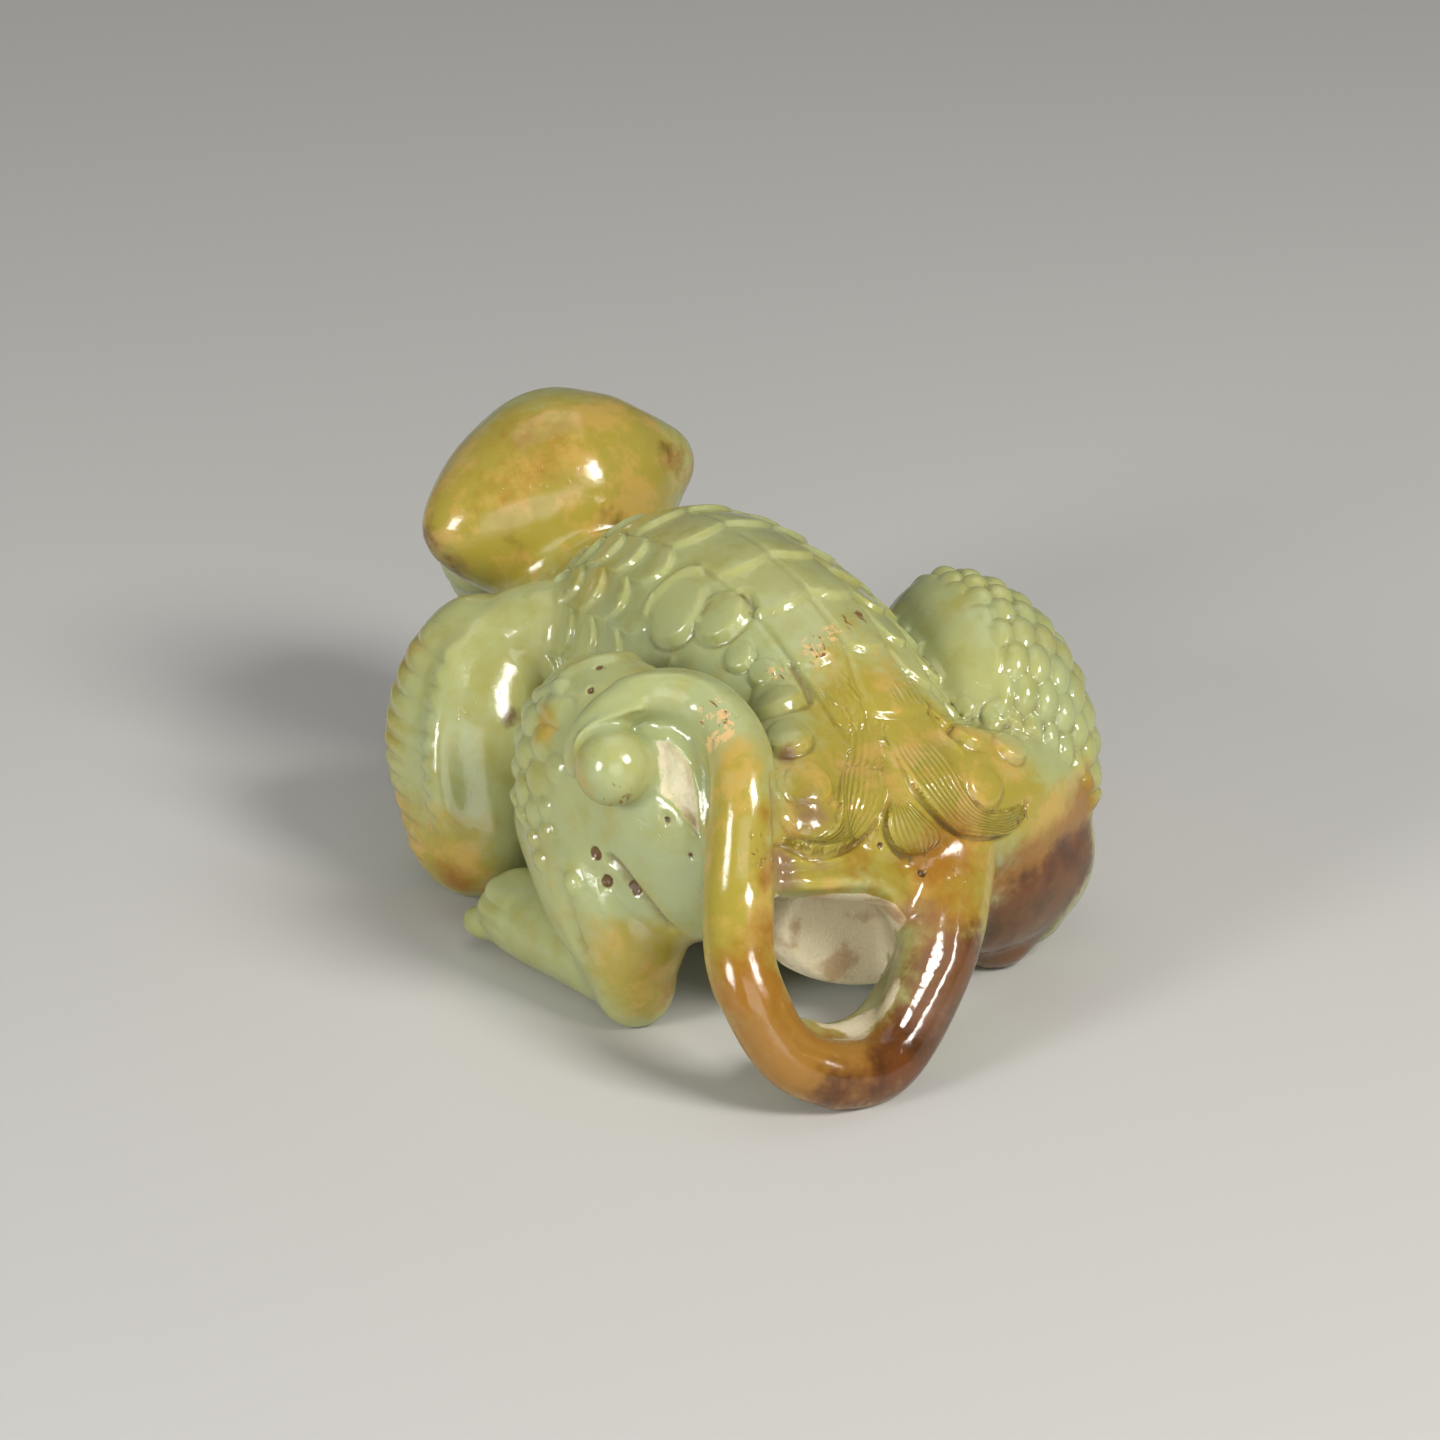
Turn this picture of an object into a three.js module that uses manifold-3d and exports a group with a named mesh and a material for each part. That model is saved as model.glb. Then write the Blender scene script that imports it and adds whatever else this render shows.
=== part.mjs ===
// A crouching beast carved in the round from one pebble of green and russet jade.
// The belly lies on the ground and the head is raised. Overlapping plates run down the back, small scales
// cover the thighs, and three locks of hair hang over the root of the tail. The tail drops from the rump in
// a free loop, climbs the left thigh and curls round a small ball.
//
// Millimetres, +Z up. The beast faces +Y with its spine over x = 0, so its left side is -X. Every form below
// is placed from a zero on the ground under the hips, and the whole is then moved to its footprint's middle.

import * as THREE from 'three';
import { mergeVertices } from 'three/addons/utils/BufferGeometryUtils.js';
import Module from 'manifold-3d';

const wasm = await Module();
wasm.setup();

// Driving sizes
const FOOTPRINT_MIDDLE = { x: -0.22, y: 10.37 };
const GROUND_CUT = { width: 60, length: 90, depth: 6 };
const PLATE = { pitch: 4.2, first: 6.8, rise: 0.5, halfBand: 27, last: 28 };
const FLANK_SCALE = { pitch: 2.8, first: 4.0, rise: 0.36, width: 18, lowest: 81 };
const STEP_WIDTH = 0.4;
const SEAM_DEPTH = 0.3;
const THIGH_BUMP = 0.42;
const TOES = { count: 3, radius: 1.15, length: 3.0, spread: 1.6, splay: 0.25 };
const BALL_RADIUS = 2.3;
const EYE_RADIUS = 1.35;
const LONGEST_CAP = 0.45;
const SIDES = { left: -1, right: 1 };
const SHOULDER_TOP = { [SIDES.left]: 16.6, [SIDES.right]: 14.6 };
const SCALED_FACE = {
  left: { from: 105, to: 205, afterRing: 6 },
  right: { from: -40, to: 80, afterRing: 3 },
};

// The pebble's colours: celadon green over most of it, russet and honey where its skin was left
const JADE = new THREE.MeshStandardMaterial({ color: 0xb3b980, roughness: 0.16, metalness: 0 });

const DEGREES = Math.PI / 180;
const UPWARD = new THREE.Vector3(0, 0, 1);
const FORWARD = new THREE.Vector3(0, 1, 0.01);
const BACKWARD = new THREE.Vector3(0, -1, 0.01);
const ACROSS_LOOP = new THREE.Vector3(0.5, 0.8, -0.3);

// Angles round a section, from the side (0) over the top (90) and back
const evenAngles = (count) => Array.from({ length: count }, (_, i) => (360 * i) / count);

// Where each ring of a form lies on its spine, and how far the rounded ends have swelled by there
function ringPlaces(length, firstRadius, lastRadius, middle, capRings) {
  const turns = Array.from({ length: capRings + 1 }, (_, i) => (90 * DEGREES * i) / capRings);
  const head = turns.map((a) => ({ place: firstRadius * (1 - Math.cos(a)), swell: Math.sin(a) }));
  const rear = turns.map((a) => ({ place: length - lastRadius * (1 - Math.cos(a)), swell: Math.sin(a) }));
  return [...head, ...middle.map((place) => ({ place, swell: 1 })), ...rear.reverse()];
}

const evenPlaces = (from, to, count) =>
  Array.from({ length: count }, (_, i) => from + ((to - from) * (i + 1)) / (count + 1));

// A rounded form swept along a spine. Each station is [x, y, z, half width, height over, height under], and
// the section is an ellipse whose upper and lower halves differ. The rings are those of a sphere, strung
// along a smooth curve through the stations. `relief` lifts the surface, in millimetres.
function form(stations, options = {}) {
  const { up = UPWARD, angles = evenAngles(12), rings = 6, places = null, caps = 3 } = options;
  const { relief = () => 0 } = options;
  const curve = (pick) => new THREE.CatmullRomCurve3(stations.map(pick), false, 'catmullrom', 0.5);
  const spine = curve(([x, y, z]) => new THREE.Vector3(x, y, z));
  const girth = curve(([, , , side, over, under = over]) => new THREE.Vector3(side, over, under));
  const length = spine.getLength();
  const endRadius = ([, , , side, over]) => Math.min((side + over) / 2, length * LONGEST_CAP);
  const first = endRadius(stations[0]);
  const last = endRadius(stations[stations.length - 1]);
  const middle = places ?? evenPlaces(first, length - last, rings);
  const strung = ringPlaces(length, first, last, middle, caps);

  const shape = new THREE.SphereGeometry(1, angles.length, strung.length - 1);
  shape.deleteAttribute('normal');
  shape.deleteAttribute('uv');
  const vertex = shape.attributes.position;
  for (let i = 0; i < vertex.count; i += 1) {
    const row = Math.floor(i / (angles.length + 1));
    const column = (i % (angles.length + 1)) % angles.length;
    const { place, swell } = strung[row];
    const t = spine.getUtoTmapping(place / length);
    const middlePoint = spine.getPoint(t);
    const ahead = spine.getTangent(t);
    const aside = new THREE.Vector3().crossVectors(ahead, up).normalize();
    const above = new THREE.Vector3().crossVectors(aside, ahead);
    const { x: side, y: over, z: under } = girth.getPoint(t);
    const angle = angles[column] * DEGREES;
    const lift = relief({ place, angle: angles[column], row, column }) * swell;
    const across = (side * swell + lift) * Math.cos(angle);
    const rise = ((Math.sin(angle) > 0 ? over : under) * swell + lift) * Math.sin(angle);
    middlePoint.addScaledVector(aside, across).addScaledVector(above, rise);
    vertex.setXYZ(i, middlePoint.x, middlePoint.y, middlePoint.z);
  }
  return shape;
}

// A closed solid from a closed geometry, ready for joining and cutting
function solid(geometry) {
  const shape = geometry.clone();
  shape.deleteAttribute('normal');
  shape.deleteAttribute('uv');
  const merged = mergeVertices(shape);
  const mesh = new wasm.Mesh({
    numProp: 3,
    vertProperties: new Float32Array(merged.attributes.position.array),
    triVerts: new Uint32Array(merged.index.array),
  });
  return new wasm.Manifold(mesh);
}

const join = (geometries) => geometries.map(solid).reduce((whole, piece) => whole.add(piece));

function geometryOf(manifold) {
  const mesh = manifold.getMesh();
  const geometry = new THREE.BufferGeometry();
  geometry.setAttribute('position', new THREE.BufferAttribute(new Float32Array(mesh.vertProperties), 3));
  geometry.setIndex(new THREE.BufferAttribute(new Uint32Array(mesh.triVerts), 1));
  return geometry;
}

// The same stations on the side named
const mirrored = (stations, side) => stations.map(([x, ...rest]) => [side * x, ...rest]);

// How high an overlapping scale stands: full at its rear edge, falling to nothing at the next one ahead
function overlap(place, { pitch, first }) {
  const along = (place - first) / pitch;
  return 1 - (along - Math.floor(along));
}

// The back: two columns of broad plates down the midline and three columns of scales down each flank
function backRelief({ place, angle }) {
  const fromTop = Math.abs(angle - 90);
  if (fromTop > FLANK_SCALE.lowest || place > PLATE.last) return 0;
  const onPlates = fromTop <= PLATE.halfBand;
  const row = onPlates ? PLATE : FLANK_SCALE;
  if (place < row.first - STEP_WIDTH) return 0;
  const seams = onPlates ? fromTop % PLATE.halfBand : (fromTop - PLATE.halfBand) % FLANK_SCALE.width;
  const seam = seams === 0 ? SEAM_DEPTH : 0;
  return row.rise * overlap(place, row) - seam;
}

function backPlaces() {
  const steps = new Set();
  for (const row of [PLATE, FLANK_SCALE]) {
    for (let place = row.first; place < PLATE.last; place += row.pitch) steps.add(place.toFixed(1));
  }
  const sorted = [...steps].map(Number).sort((a, b) => a - b);
  return sorted.flatMap((place) => [place - STEP_WIDTH / 2, place + STEP_WIDTH / 2]);
}

function trunk() {
  const stations = [
    [0, -13.2, 11.0, 4.0, 2.6, 3.5],
    [0, -8.0, 12.3, 6.5, 5.1, 5.0],
    [0, 0.0, 13.5, 8.1, 8.8, 7.0],
    [0, 8.0, 14.2, 8.6, 10.0, 8.0],
    [0, 15.5, 13.8, 8.6, 9.7, 8.0],
    [0, 22.0, 13.0, 7.1, 7.2, 7.0],
    [0, 29.0, 12.5, 5.0, 4.5, 5.0],
  ];
  const columnWidth = FLANK_SCALE.width / 2;
  const scaled = [];
  for (let a = 90 - FLANK_SCALE.lowest; a <= 90 + FLANK_SCALE.lowest; a += columnWidth) scaled.push(a);
  const belly = [206, 238, 270, 302, 334];
  return form(stations, { angles: [...scaled, ...belly], places: backPlaces(), relief: backRelief });
}

// The low body that closes the carving underneath, from the rump to the chest
function underBody() {
  const stations = [
    [-2.2, -12.6, 6.4, 8.0, 4.4, 5.4],
    [0, -4.0, 6.8, 7.5, 5.0, 5.6],
    [0, 5.0, 7.2, 9.0, 5.0, 8.0],
    [0, 14.0, 8.0, 9.0, 5.0, 8.7],
    [0, 24.0, 8.2, 7.5, 5.0, 8.0],
    [0, 31.0, 8.5, 5.0, 4.0, 4.0],
  ];
  return form(stations, { angles: evenAngles(12), rings: 5, caps: 2 });
}

// The rump: one broad form from flank to flank, a fuller one low on the right that runs into the foot, and
// one on the left that carries the flank's last scales down beside the tail
function rump() {
  const across = [
    [-6.5, -8.4, 12.6, 3.2, 3.0, 3.4],
    [-2.5, -8.9, 12.3, 4.3, 4.0, 4.2],
    [3.0, -8.8, 11.8, 4.8, 4.0, 4.2],
    [8.0, -7.4, 10.8, 5.2, 4.0, 4.2],
    [12.0, -5.0, 9.6, 5.2, 4.2, 4.2],
    [15.0, -2.8, 8.6, 4.4, 4.2, 4.2],
  ];
  const lowRight = [
    [3.0, -7.2, 7.2, 3.8, 4.0, 4.4],
    [7.0, -6.6, 6.6, 5.4, 4.4, 5.0],
    [11.5, -4.4, 6.2, 5.6, 4.6, 5.2],
    [15.3, -2.2, 5.4, 4.6, 4.4, 4.4],
  ];
  const besideTail = [
    [-3.4, -2.4, 17.9, 2.0, 2.0],
    [-5.9, -7.0, 15.7, 2.8, 2.8],
    [-6.8, -9.4, 13.7, 2.8, 2.8],
    [-7.8, -12.2, 11.6, 2.0, 2.0],
  ];
  return [
    form(across, { up: FORWARD, angles: evenAngles(12), rings: 5 }),
    form(lowRight, { up: FORWARD, angles: evenAngles(10), rings: 3 }),
    form(besideTail, { angles: evenAngles(10), rings: 3, caps: 2 }),
  ];
}

// The hollow cut in under the rump behind the tail's loop, a flat wall at its back
function rumpHollow() {
  const top = 9.4;
  const left = -9.4;
  const right = -1.4;
  const corner = 2.4;
  const outline = new THREE.Shape();
  outline.moveTo(left, -GROUND_CUT.depth);
  outline.lineTo(right + corner, -GROUND_CUT.depth);
  outline.lineTo(right, top - corner);
  outline.absarc(right - corner, top - corner, corner, 0, 90 * DEGREES, false);
  outline.lineTo(left, top);
  const wall = -9.0;
  const depth = 10;
  const cut = new THREE.ExtrudeGeometry(outline, { depth, bevelEnabled: false, curveSegments: 4 });
  cut.rotateX(90 * DEGREES);
  cut.translate(0, wall, 0);
  return cut;
}

// The head: a broad smooth dome that narrows to a pointed ear at each side, a short broad muzzle, and heavy
// brows over round eyes
function head() {
  const dome = [
    [-10.5, 30.2, 19.3, 0.9, 1.0, 1.0],
    [-8.2, 30.4, 19.3, 3.3, 3.4, 3.2],
    [-4.6, 30.8, 19.4, 5.6, 6.0, 5.4],
    [0, 31.2, 19.8, 6.8, 7.2, 6.6],
    [4.4, 30.8, 20.4, 5.4, 6.0, 5.2],
    [7.0, 30.4, 20.7, 3.0, 3.4, 3.0],
    [8.7, 30.2, 20.3, 0.9, 1.0, 1.0],
  ];
  const skull = [
    [0, 25.6, 18.0, 5.0, 4.6, 4.0],
    [0, 28.5, 19.0, 6.4, 6.0, 6.0],
    [0, 32.0, 18.9, 7.0, 7.6, 7.0],
    [0, 37.5, 16.8, 5.8, 6.2, 6.0],
  ];
  const muzzle = [
    [0, 31.5, 14.0, 4.6, 4.0, 4.0],
    [0, 36.5, 13.4, 5.2, 3.8, 3.8],
    [0, 41.5, 12.6, 4.4, 3.2, 3.2],
  ];
  const neck = [
    [0, 22.0, 14.0, 6.0, 5.0, 6.0],
    [0, 28.0, 15.4, 6.2, 5.0, 6.0],
    [0, 33.0, 16.0, 6.0, 5.0, 6.0],
  ];
  const nose = [
    [-2.2, 39.6, 15.2, 1.0, 0.9],
    [0, 40.2, 16.0, 1.5, 1.3],
    [2.2, 39.6, 15.2, 1.0, 0.9],
  ];
  const pieces = [
    form(dome, { up: FORWARD, angles: evenAngles(13), rings: 7, caps: 2 }),
    form(skull, { angles: evenAngles(12), rings: 3, caps: 2 }),
    form(muzzle, { angles: evenAngles(10), rings: 2, caps: 2 }),
    form(neck, { angles: evenAngles(8), rings: 1, caps: 2 }),
    form(nose, { angles: evenAngles(8), rings: 1, caps: 2 }),
  ];
  for (const side of Object.values(SIDES)) {
    const brow = [
      [0.6, 37.4, 20.6, 0.9, 0.9],
      [3.2, 37.0, 21.5, 1.3, 1.1],
      [6.0, 34.2, 20.3, 0.9, 0.9],
    ];
    const cheek = [
      [3.8, 38.4, 15.2, 1.6, 1.8],
      [4.8, 35.0, 15.4, 2.0, 2.6],
      [4.6, 32.0, 16.4, 1.6, 2.0],
    ];
    pieces.push(form(mirrored(brow, side), { angles: evenAngles(6), rings: 2, caps: 2 }));
    pieces.push(form(mirrored(cheek, side), { angles: evenAngles(8), rings: 1, caps: 2 }));
    const eye = new THREE.SphereGeometry(EYE_RADIUS, 8, 6);
    eye.translate(side * 3.2, 36.7, 18.8);
    pieces.push(eye);
  }
  return join(pieces);
}

// The closed mouth: a groove round the front of the muzzle
function mouthGroove() {
  const corners = [
    [-5.8, 37.4, 12.9, 0.3, 0.35],
    [-3.6, 41.0, 12.0, 0.45, 0.4],
    [0, 42.0, 12.2, 0.5, 0.4],
    [3.6, 41.0, 12.0, 0.45, 0.4],
    [5.8, 37.4, 12.9, 0.3, 0.35],
  ];
  return form(corners, { angles: evenAngles(4), rings: 7, caps: 2 });
}

// Toes side by side across the front of a foot that points along +Y
function toes([x, y, z], side) {
  const { count, radius, length, spread, splay } = TOES;
  const tip = radius * 0.8;
  return Array.from({ length: count }, (_, i) => {
    const across = (i - (count - 1) / 2) * spread;
    const reach = length - splay * Math.abs(across);
    const stations = [
      [side * x + across, y, z, radius, radius],
      [side * x + across * (1 + splay), y + reach, z - 0.4, tip, tip],
    ];
    return form(stations, { angles: evenAngles(5), rings: 0, caps: 2 });
  });
}

function forelimb(side) {
  const shoulder = SHOULDER_TOP[side];
  const upper = [
    [7.6, 23.5, shoulder, 2.2, 2.4],
    [10.2, 23.0, shoulder - 3.0, 4.2, 4.8],
    [12.0, 21.4, 9.6, 5.2, 5.6],
    [12.8, 19.2, 5.0, 4.4, 5.0],
    [13.6, 15.4, 1.2, 3.6, 4.2],
  ];
  const forearm = [
    [12.0, 17.0, 2.6, 2.8, 2.8],
    [10.0, 25.0, 2.6, 2.8, 2.8],
    [8.0, 31.0, 2.4, 2.8, 2.6],
    [7.4, 35.5, 2.0, 2.8, 2.2],
  ];
  const ridge = [
    [10.6, 21.4, shoulder + 0.4, 0.6, 0.6],
    [13.6, 19.9, shoulder - 1.8, 1.0, 0.9],
    [15.2, 18.4, 11.6, 1.3, 1.0],
    [15.9, 17.3, 8.2, 1.3, 1.0],
    [15.6, 16.4, 5.2, 1.1, 0.9],
    [14.4, 16.4, 2.2, 0.7, 0.7],
  ];
  const blade = [
    [11.8, 21.8, shoulder - 3.2, 2.4, 2.4],
    [9.2, 21.2, shoulder - 1.8, 3.2, 3.2],
    [7.2, 19.8, shoulder - 0.8, 3.2, 3.2],
    [5.2, 17.6, shoulder + 0.4, 2.4, 2.4],
  ];
  return [
    form(mirrored(upper, side), { up: FORWARD, angles: evenAngles(10), rings: 4, caps: 2 }),
    form(mirrored(blade, side), { angles: evenAngles(7), rings: 1, caps: 2 }),
    form(mirrored(forearm, side), { angles: evenAngles(8), rings: 2, caps: 2 }),
    form(mirrored(ridge, side), { up: FORWARD, angles: evenAngles(6), rings: 4, caps: 2 }),
    ...toes([7.4, 33.6, 1.5], side),
  ];
}

// Small round scales on a thigh: every other crossing of its grid stands proud, on the side that faces out
function thighRelief({ from, to, afterRing }) {
  const facesOut = (angle) => (angle > from && angle < to) || angle - 360 > from;
  return ({ angle, row, column }) => {
    const raised = (row + column) % 2 === 0 && row > afterRing && facesOut(angle);
    return raised ? THIGH_BUMP : 0;
  };
}

function leftHindLimb() {
  const haunch = [
    [-10.6, -8.8, 7.2, 2.6, 3.4, 3.6],
    [-11.6, -4.5, 11.0, 4.4, 7.6, 6.4],
    [-12.6, 2.0, 13.0, 5.3, 8.0, 6.0],
    [-12.9, 8.5, 12.0, 4.0, 5.6, 4.4],
  ];
  const shank = [
    [-14.6, 6.2, 13.2, 2.8, 3.4],
    [-15.0, 3.4, 11.0, 3.1, 4.2],
    [-15.1, -0.2, 8.0, 3.1, 4.4],
    [-14.5, -3.2, 4.6, 2.8, 3.6],
    [-14.3, -3.4, 2.2, 2.5, 2.3],
    [-14.1, -2.8, -0.4, 2.1, 1.8],
  ];
  const foot = [
    [-13.6, -4.8, 2.0, 2.3, 2.2],
    [-13.9, 1.5, 2.2, 2.6, 2.4],
    [-14.8, 7.5, 2.5, 2.8, 2.7],
    [-15.1, 12.0, 2.4, 2.5, 2.5],
  ];
  const outerFace = thighRelief(SCALED_FACE.left);
  return [
    form(haunch, { angles: evenAngles(18), rings: 7, relief: outerFace }),
    form(shank, { angles: evenAngles(8), rings: 4, caps: 2 }),
    form(foot, { angles: evenAngles(8), rings: 2 }),
    ...toes([15.1, 9.8, 1.7], SIDES.left),
  ];
}

function rightHindLimb() {
  const haunch = [
    [8.5, -8.0, 9.0, 4.5, 4.5, 5.5],
    [10.9, -3.0, 11.0, 6.0, 9.4, 8.5],
    [11.4, 3.0, 11.5, 5.4, 9.8, 7.5],
    [11.4, 9.0, 10.5, 4.0, 6.0, 5.0],
  ];
  const shank = [
    [14.2, 5.0, 9.0, 3.4, 3.0],
    [14.0, 0.0, 6.4, 3.2, 3.6],
    [11.6, -5.2, 4.8, 3.2, 3.9],
    [8.6, -8.8, 3.4, 2.8, 3.4],
  ];
  const foot = [
    [7.6, -8.8, 2.0, 2.6, 2.2],
    [12.0, 0.5, 2.2, 2.8, 2.4],
    [15.0, 7.5, 2.5, 2.8, 2.7],
    [15.4, 9.8, 2.2, 2.6, 2.4],
  ];
  const outerFace = thighRelief(SCALED_FACE.right);
  return [
    form(haunch, { angles: evenAngles(18), rings: 7, relief: outerFace }),
    form(shank, { angles: evenAngles(8), rings: 2, caps: 2 }),
    form(foot, { angles: evenAngles(8), rings: 2, caps: 2 }),
    ...toes([15.4, 8.6, 1.6], SIDES.right),
  ];
}

// Three locks that hang over the tail's root: one sweeps left, one right, and a short one between them
function locks() {
  const left = [
    [-2.4, -9.6, 16.4, 0.9, 0.5],
    [-3.6, -11.2, 15.5, 1.4, 0.7],
    [-4.3, -11.9, 14.4, 1.3, 0.8],
    [-5.2, -12.2, 13.5, 1.1, 0.8],
    [-6.5, -12.5, 13.0, 0.9, 0.7],
    [-7.8, -12.5, 13.1, 0.7, 0.6],
    [-8.7, -12.1, 13.5, 0.4, 0.4],
  ];
  const right = [
    [0.4, -9.9, 17.1, 1.0, 0.6],
    [0.6, -11.4, 16.1, 1.4, 0.9],
    [1.3, -12.7, 14.8, 1.4, 1.0],
    [2.5, -13.1, 13.2, 1.3, 1.0],
    [4.1, -13.0, 12.4, 1.1, 0.9],
    [5.6, -12.6, 12.3, 0.9, 0.7],
    [6.8, -12.0, 12.8, 0.4, 0.5],
  ];
  const middle = [
    [-1.4, -12.0, 15.0, 0.8, 0.4],
    [-1.2, -12.9, 13.6, 1.7, 0.7],
    [-0.9, -13.2, 12.4, 1.8, 0.8],
    [-0.8, -13.2, 11.5, 1.2, 0.6],
  ];
  const rearward = new THREE.Vector3(0, -0.8, 0.6);
  const options = { up: rearward, angles: evenAngles(6), rings: 5, caps: 2 };
  return [form(left, options), form(right, options), form(middle, options)];
}

// What thickens the tail: its loop is a slab, so a second, thinner run lies behind the right branch and the
// bend. A bar under the locks closes the loop at its top and turns down along the right branch, and a web joins
// the left run to the rump.
function tailBacking() {
  const behind = [
    [2.0, -9.5, 9.0, 2.4, 2.6, 2.6],
    [0.4, -12.6, 5.6, 1.9, 2.4, 2.2],
    [-4.4, -15.2, 2.2, 1.8, 1.9, 2.0],
    [-8.8, -16.2, 1.9, 1.8, 1.8, 1.9],
    [-12.0, -15.4, 3.4, 1.8, 1.8, 1.8],
  ];
  const bar = [
    [-0.9, -13.9, 5.6, 1.3, 1.3],
    [-1.6, -13.1, 8.8, 1.5, 1.5],
    [-2.7, -12.6, 10.1, 1.5, 1.5],
    [-6.3, -12.7, 11.4, 1.5, 1.5],
    [-9.5, -12.4, 12.1, 1.5, 1.5],
    [-12.0, -12.0, 12.4, 1.2, 1.2],
  ];
  const web = [
    [-9.6, -7.6, 17.6, 1.2, 1.4],
    [-9.4, -9.8, 14.8, 1.7, 1.9],
    [-9.4, -11.0, 12.0, 1.8, 2.0],
  ];
  return [
    form(behind, { up: ACROSS_LOOP, angles: evenAngles(8), rings: 8, caps: 2 }),
    form(bar, { up: BACKWARD, angles: evenAngles(8), rings: 6, caps: 2 }),
    form(web, { up: BACKWARD, angles: evenAngles(8), rings: 1, caps: 2 }),
  ];
}

// The tail: down from the rump, round the free loop, up the back of the left thigh and into its curl
function tail() {
  const stations = [
    [3.4, -9.2, 13.4, 3.0, 3.0, 3.0],
    [2.1, -11.2, 9.8, 3.1, 3.4, 3.1],
    [-0.9, -15.5, 6.2, 2.3, 3.2, 2.3],
    [-5.6, -18.2, 2.05, 2.0, 2.2, 2.0],
    [-9.4, -19.06, 1.9, 2.0, 2.0, 2.0],
    [-12.7, -18.3, 3.6, 2.0, 2.0, 2.0],
    [-14.2, -16.0, 7.9, 2.0, 2.0, 2.0],
    [-12.9, -13.0, 11.3, 2.05, 2.05, 2.05],
    [-11.3, -10.9, 16.4, 1.95, 1.95, 1.95],
    [-10.4, -8.3, 18.8, 1.9, 1.9, 1.9],
    [-11.0, -5.5, 20.3, 1.8, 1.8, 1.8],
    [-13.3, -4.2, 21.1, 1.4, 1.4, 1.4],
    [-15.6, -3.0, 20.0, 1.2, 1.2, 1.2],
    [-17.3, -2.6, 18.2, 1.0, 1.0, 1.0],
    [-17.9, -3.0, 16.2, 0.7, 0.7, 0.7],
  ];
  const ball = new THREE.SphereGeometry(BALL_RADIUS, 10, 7);
  ball.translate(-16.45, -4.9, 17.35);
  return [form(stations, { up: ACROSS_LOOP, angles: evenAngles(10), rings: 24 }), ball];
}

function carving() {
  const body = join([trunk(), underBody(), ...rump(), ...leftHindLimb(), ...rightHindLimb()]);
  const opened = body.subtract(solid(rumpHollow()));
  const limbs = join([...forelimb(SIDES.left), ...forelimb(SIDES.right)]);
  const face = head().subtract(solid(mouthGroove()));
  const whole = opened.add(limbs).add(face).add(join([...locks(), ...tailBacking(), ...tail()]));
  const { width, length, depth } = GROUND_CUT;
  const ground = new THREE.BoxGeometry(width, length, depth);
  ground.translate(0, FOOTPRINT_MIDDLE.y, -depth / 2);
  const geometry = geometryOf(whole.subtract(solid(ground)));
  geometry.translate(-FOOTPRINT_MIDDLE.x, -FOOTPRINT_MIDDLE.y, 0);
  geometry.computeVertexNormals();
  return geometry;
}

const beast = new THREE.Mesh(carving(), JADE);
beast.name = 'jade_carving';

const group = new THREE.Group();
group.add(beast);

export default group;
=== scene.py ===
# %% [markdown]
# # A crouching beast carved from one jade pebble
# The real thing is a stone small enough to close a hand round. It is green where the stone was clean and
# russet where the pebble's skin was left. It is one piece, so it is one mesh here as well: rounded forms are
# worked out with numpy, grown together, carved with finer relief, and finished with one jade material.

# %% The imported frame
import math

import bmesh
import bpy
import numpy as np
from mathutils import Matrix, Vector
from mathutils.kdtree import KDTree


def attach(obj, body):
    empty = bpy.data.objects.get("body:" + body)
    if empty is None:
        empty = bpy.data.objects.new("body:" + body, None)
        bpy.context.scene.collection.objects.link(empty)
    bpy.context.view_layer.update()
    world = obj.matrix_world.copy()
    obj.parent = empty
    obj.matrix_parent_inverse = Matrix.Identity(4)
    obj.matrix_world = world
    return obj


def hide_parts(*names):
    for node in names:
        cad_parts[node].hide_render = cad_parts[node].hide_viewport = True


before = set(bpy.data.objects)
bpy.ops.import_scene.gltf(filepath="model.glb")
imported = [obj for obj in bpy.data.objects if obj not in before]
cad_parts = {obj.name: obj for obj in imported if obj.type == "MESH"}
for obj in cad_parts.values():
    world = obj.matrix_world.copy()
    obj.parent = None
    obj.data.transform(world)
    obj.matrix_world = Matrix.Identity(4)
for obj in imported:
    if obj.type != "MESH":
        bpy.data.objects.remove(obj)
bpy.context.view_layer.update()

# %% [markdown]
# ## Sizes and directions
# The forms are placed in millimetres from a zero on the ground under the hips, with +Y the way the beast
# faces. Only the last step turns millimetres into Blender's metres and moves the footprint's middle to the
# origin, because numbers such as 4.2 are easier to read and compare than 0.0042.

# %% Sizes and directions
MILLIMETRE = 0.001
FOOTPRINT_MIDDLE = np.array([-0.22, 10.37, 0.0])
UPWARD = (0.0, 0.0, 1.0)
FORWARD = (0.0, 1.0, 0.01)
BACKWARD = (0.0, -1.0, 0.01)
ACROSS_LOOP = (0.5, 0.8, -0.3)
LEFT, RIGHT = -1, 1
LONGEST_CAP = 0.45

# %% [markdown]
# ## A rounded form along a line
# Almost everything on the carving is a rounded form: a limb, a haunch, the tail. Each could be sculpted by
# hand, but a few stations along a line say the same thing in numbers that can be read. A smooth line runs
# through the stations, and a soft ring with its own width, height over and height under is set square to it.


# %% A line with a girth
def smooth_through(rows, t):
    """Catmull-Rom curve through rows: between two rows a cubic, whose slope at each row is half the step
    from the row before to the row after. Past each end the row is mirrored."""
    rows = np.vstack([2 * rows[0] - rows[1], rows, 2 * rows[-1] - rows[-2]])
    whole = np.clip(np.floor(t).astype(int), 0, len(rows) - 4)
    f = (t - whole)[:, None]
    a, b, c, d = (rows[whole + k] for k in range(4))
    return 0.5 * (2 * b + (c - a) * f + (2 * a - 5 * b + 4 * c - d) * f**2 + (3 * b - a - 3 * c + d) * f**3)


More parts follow.
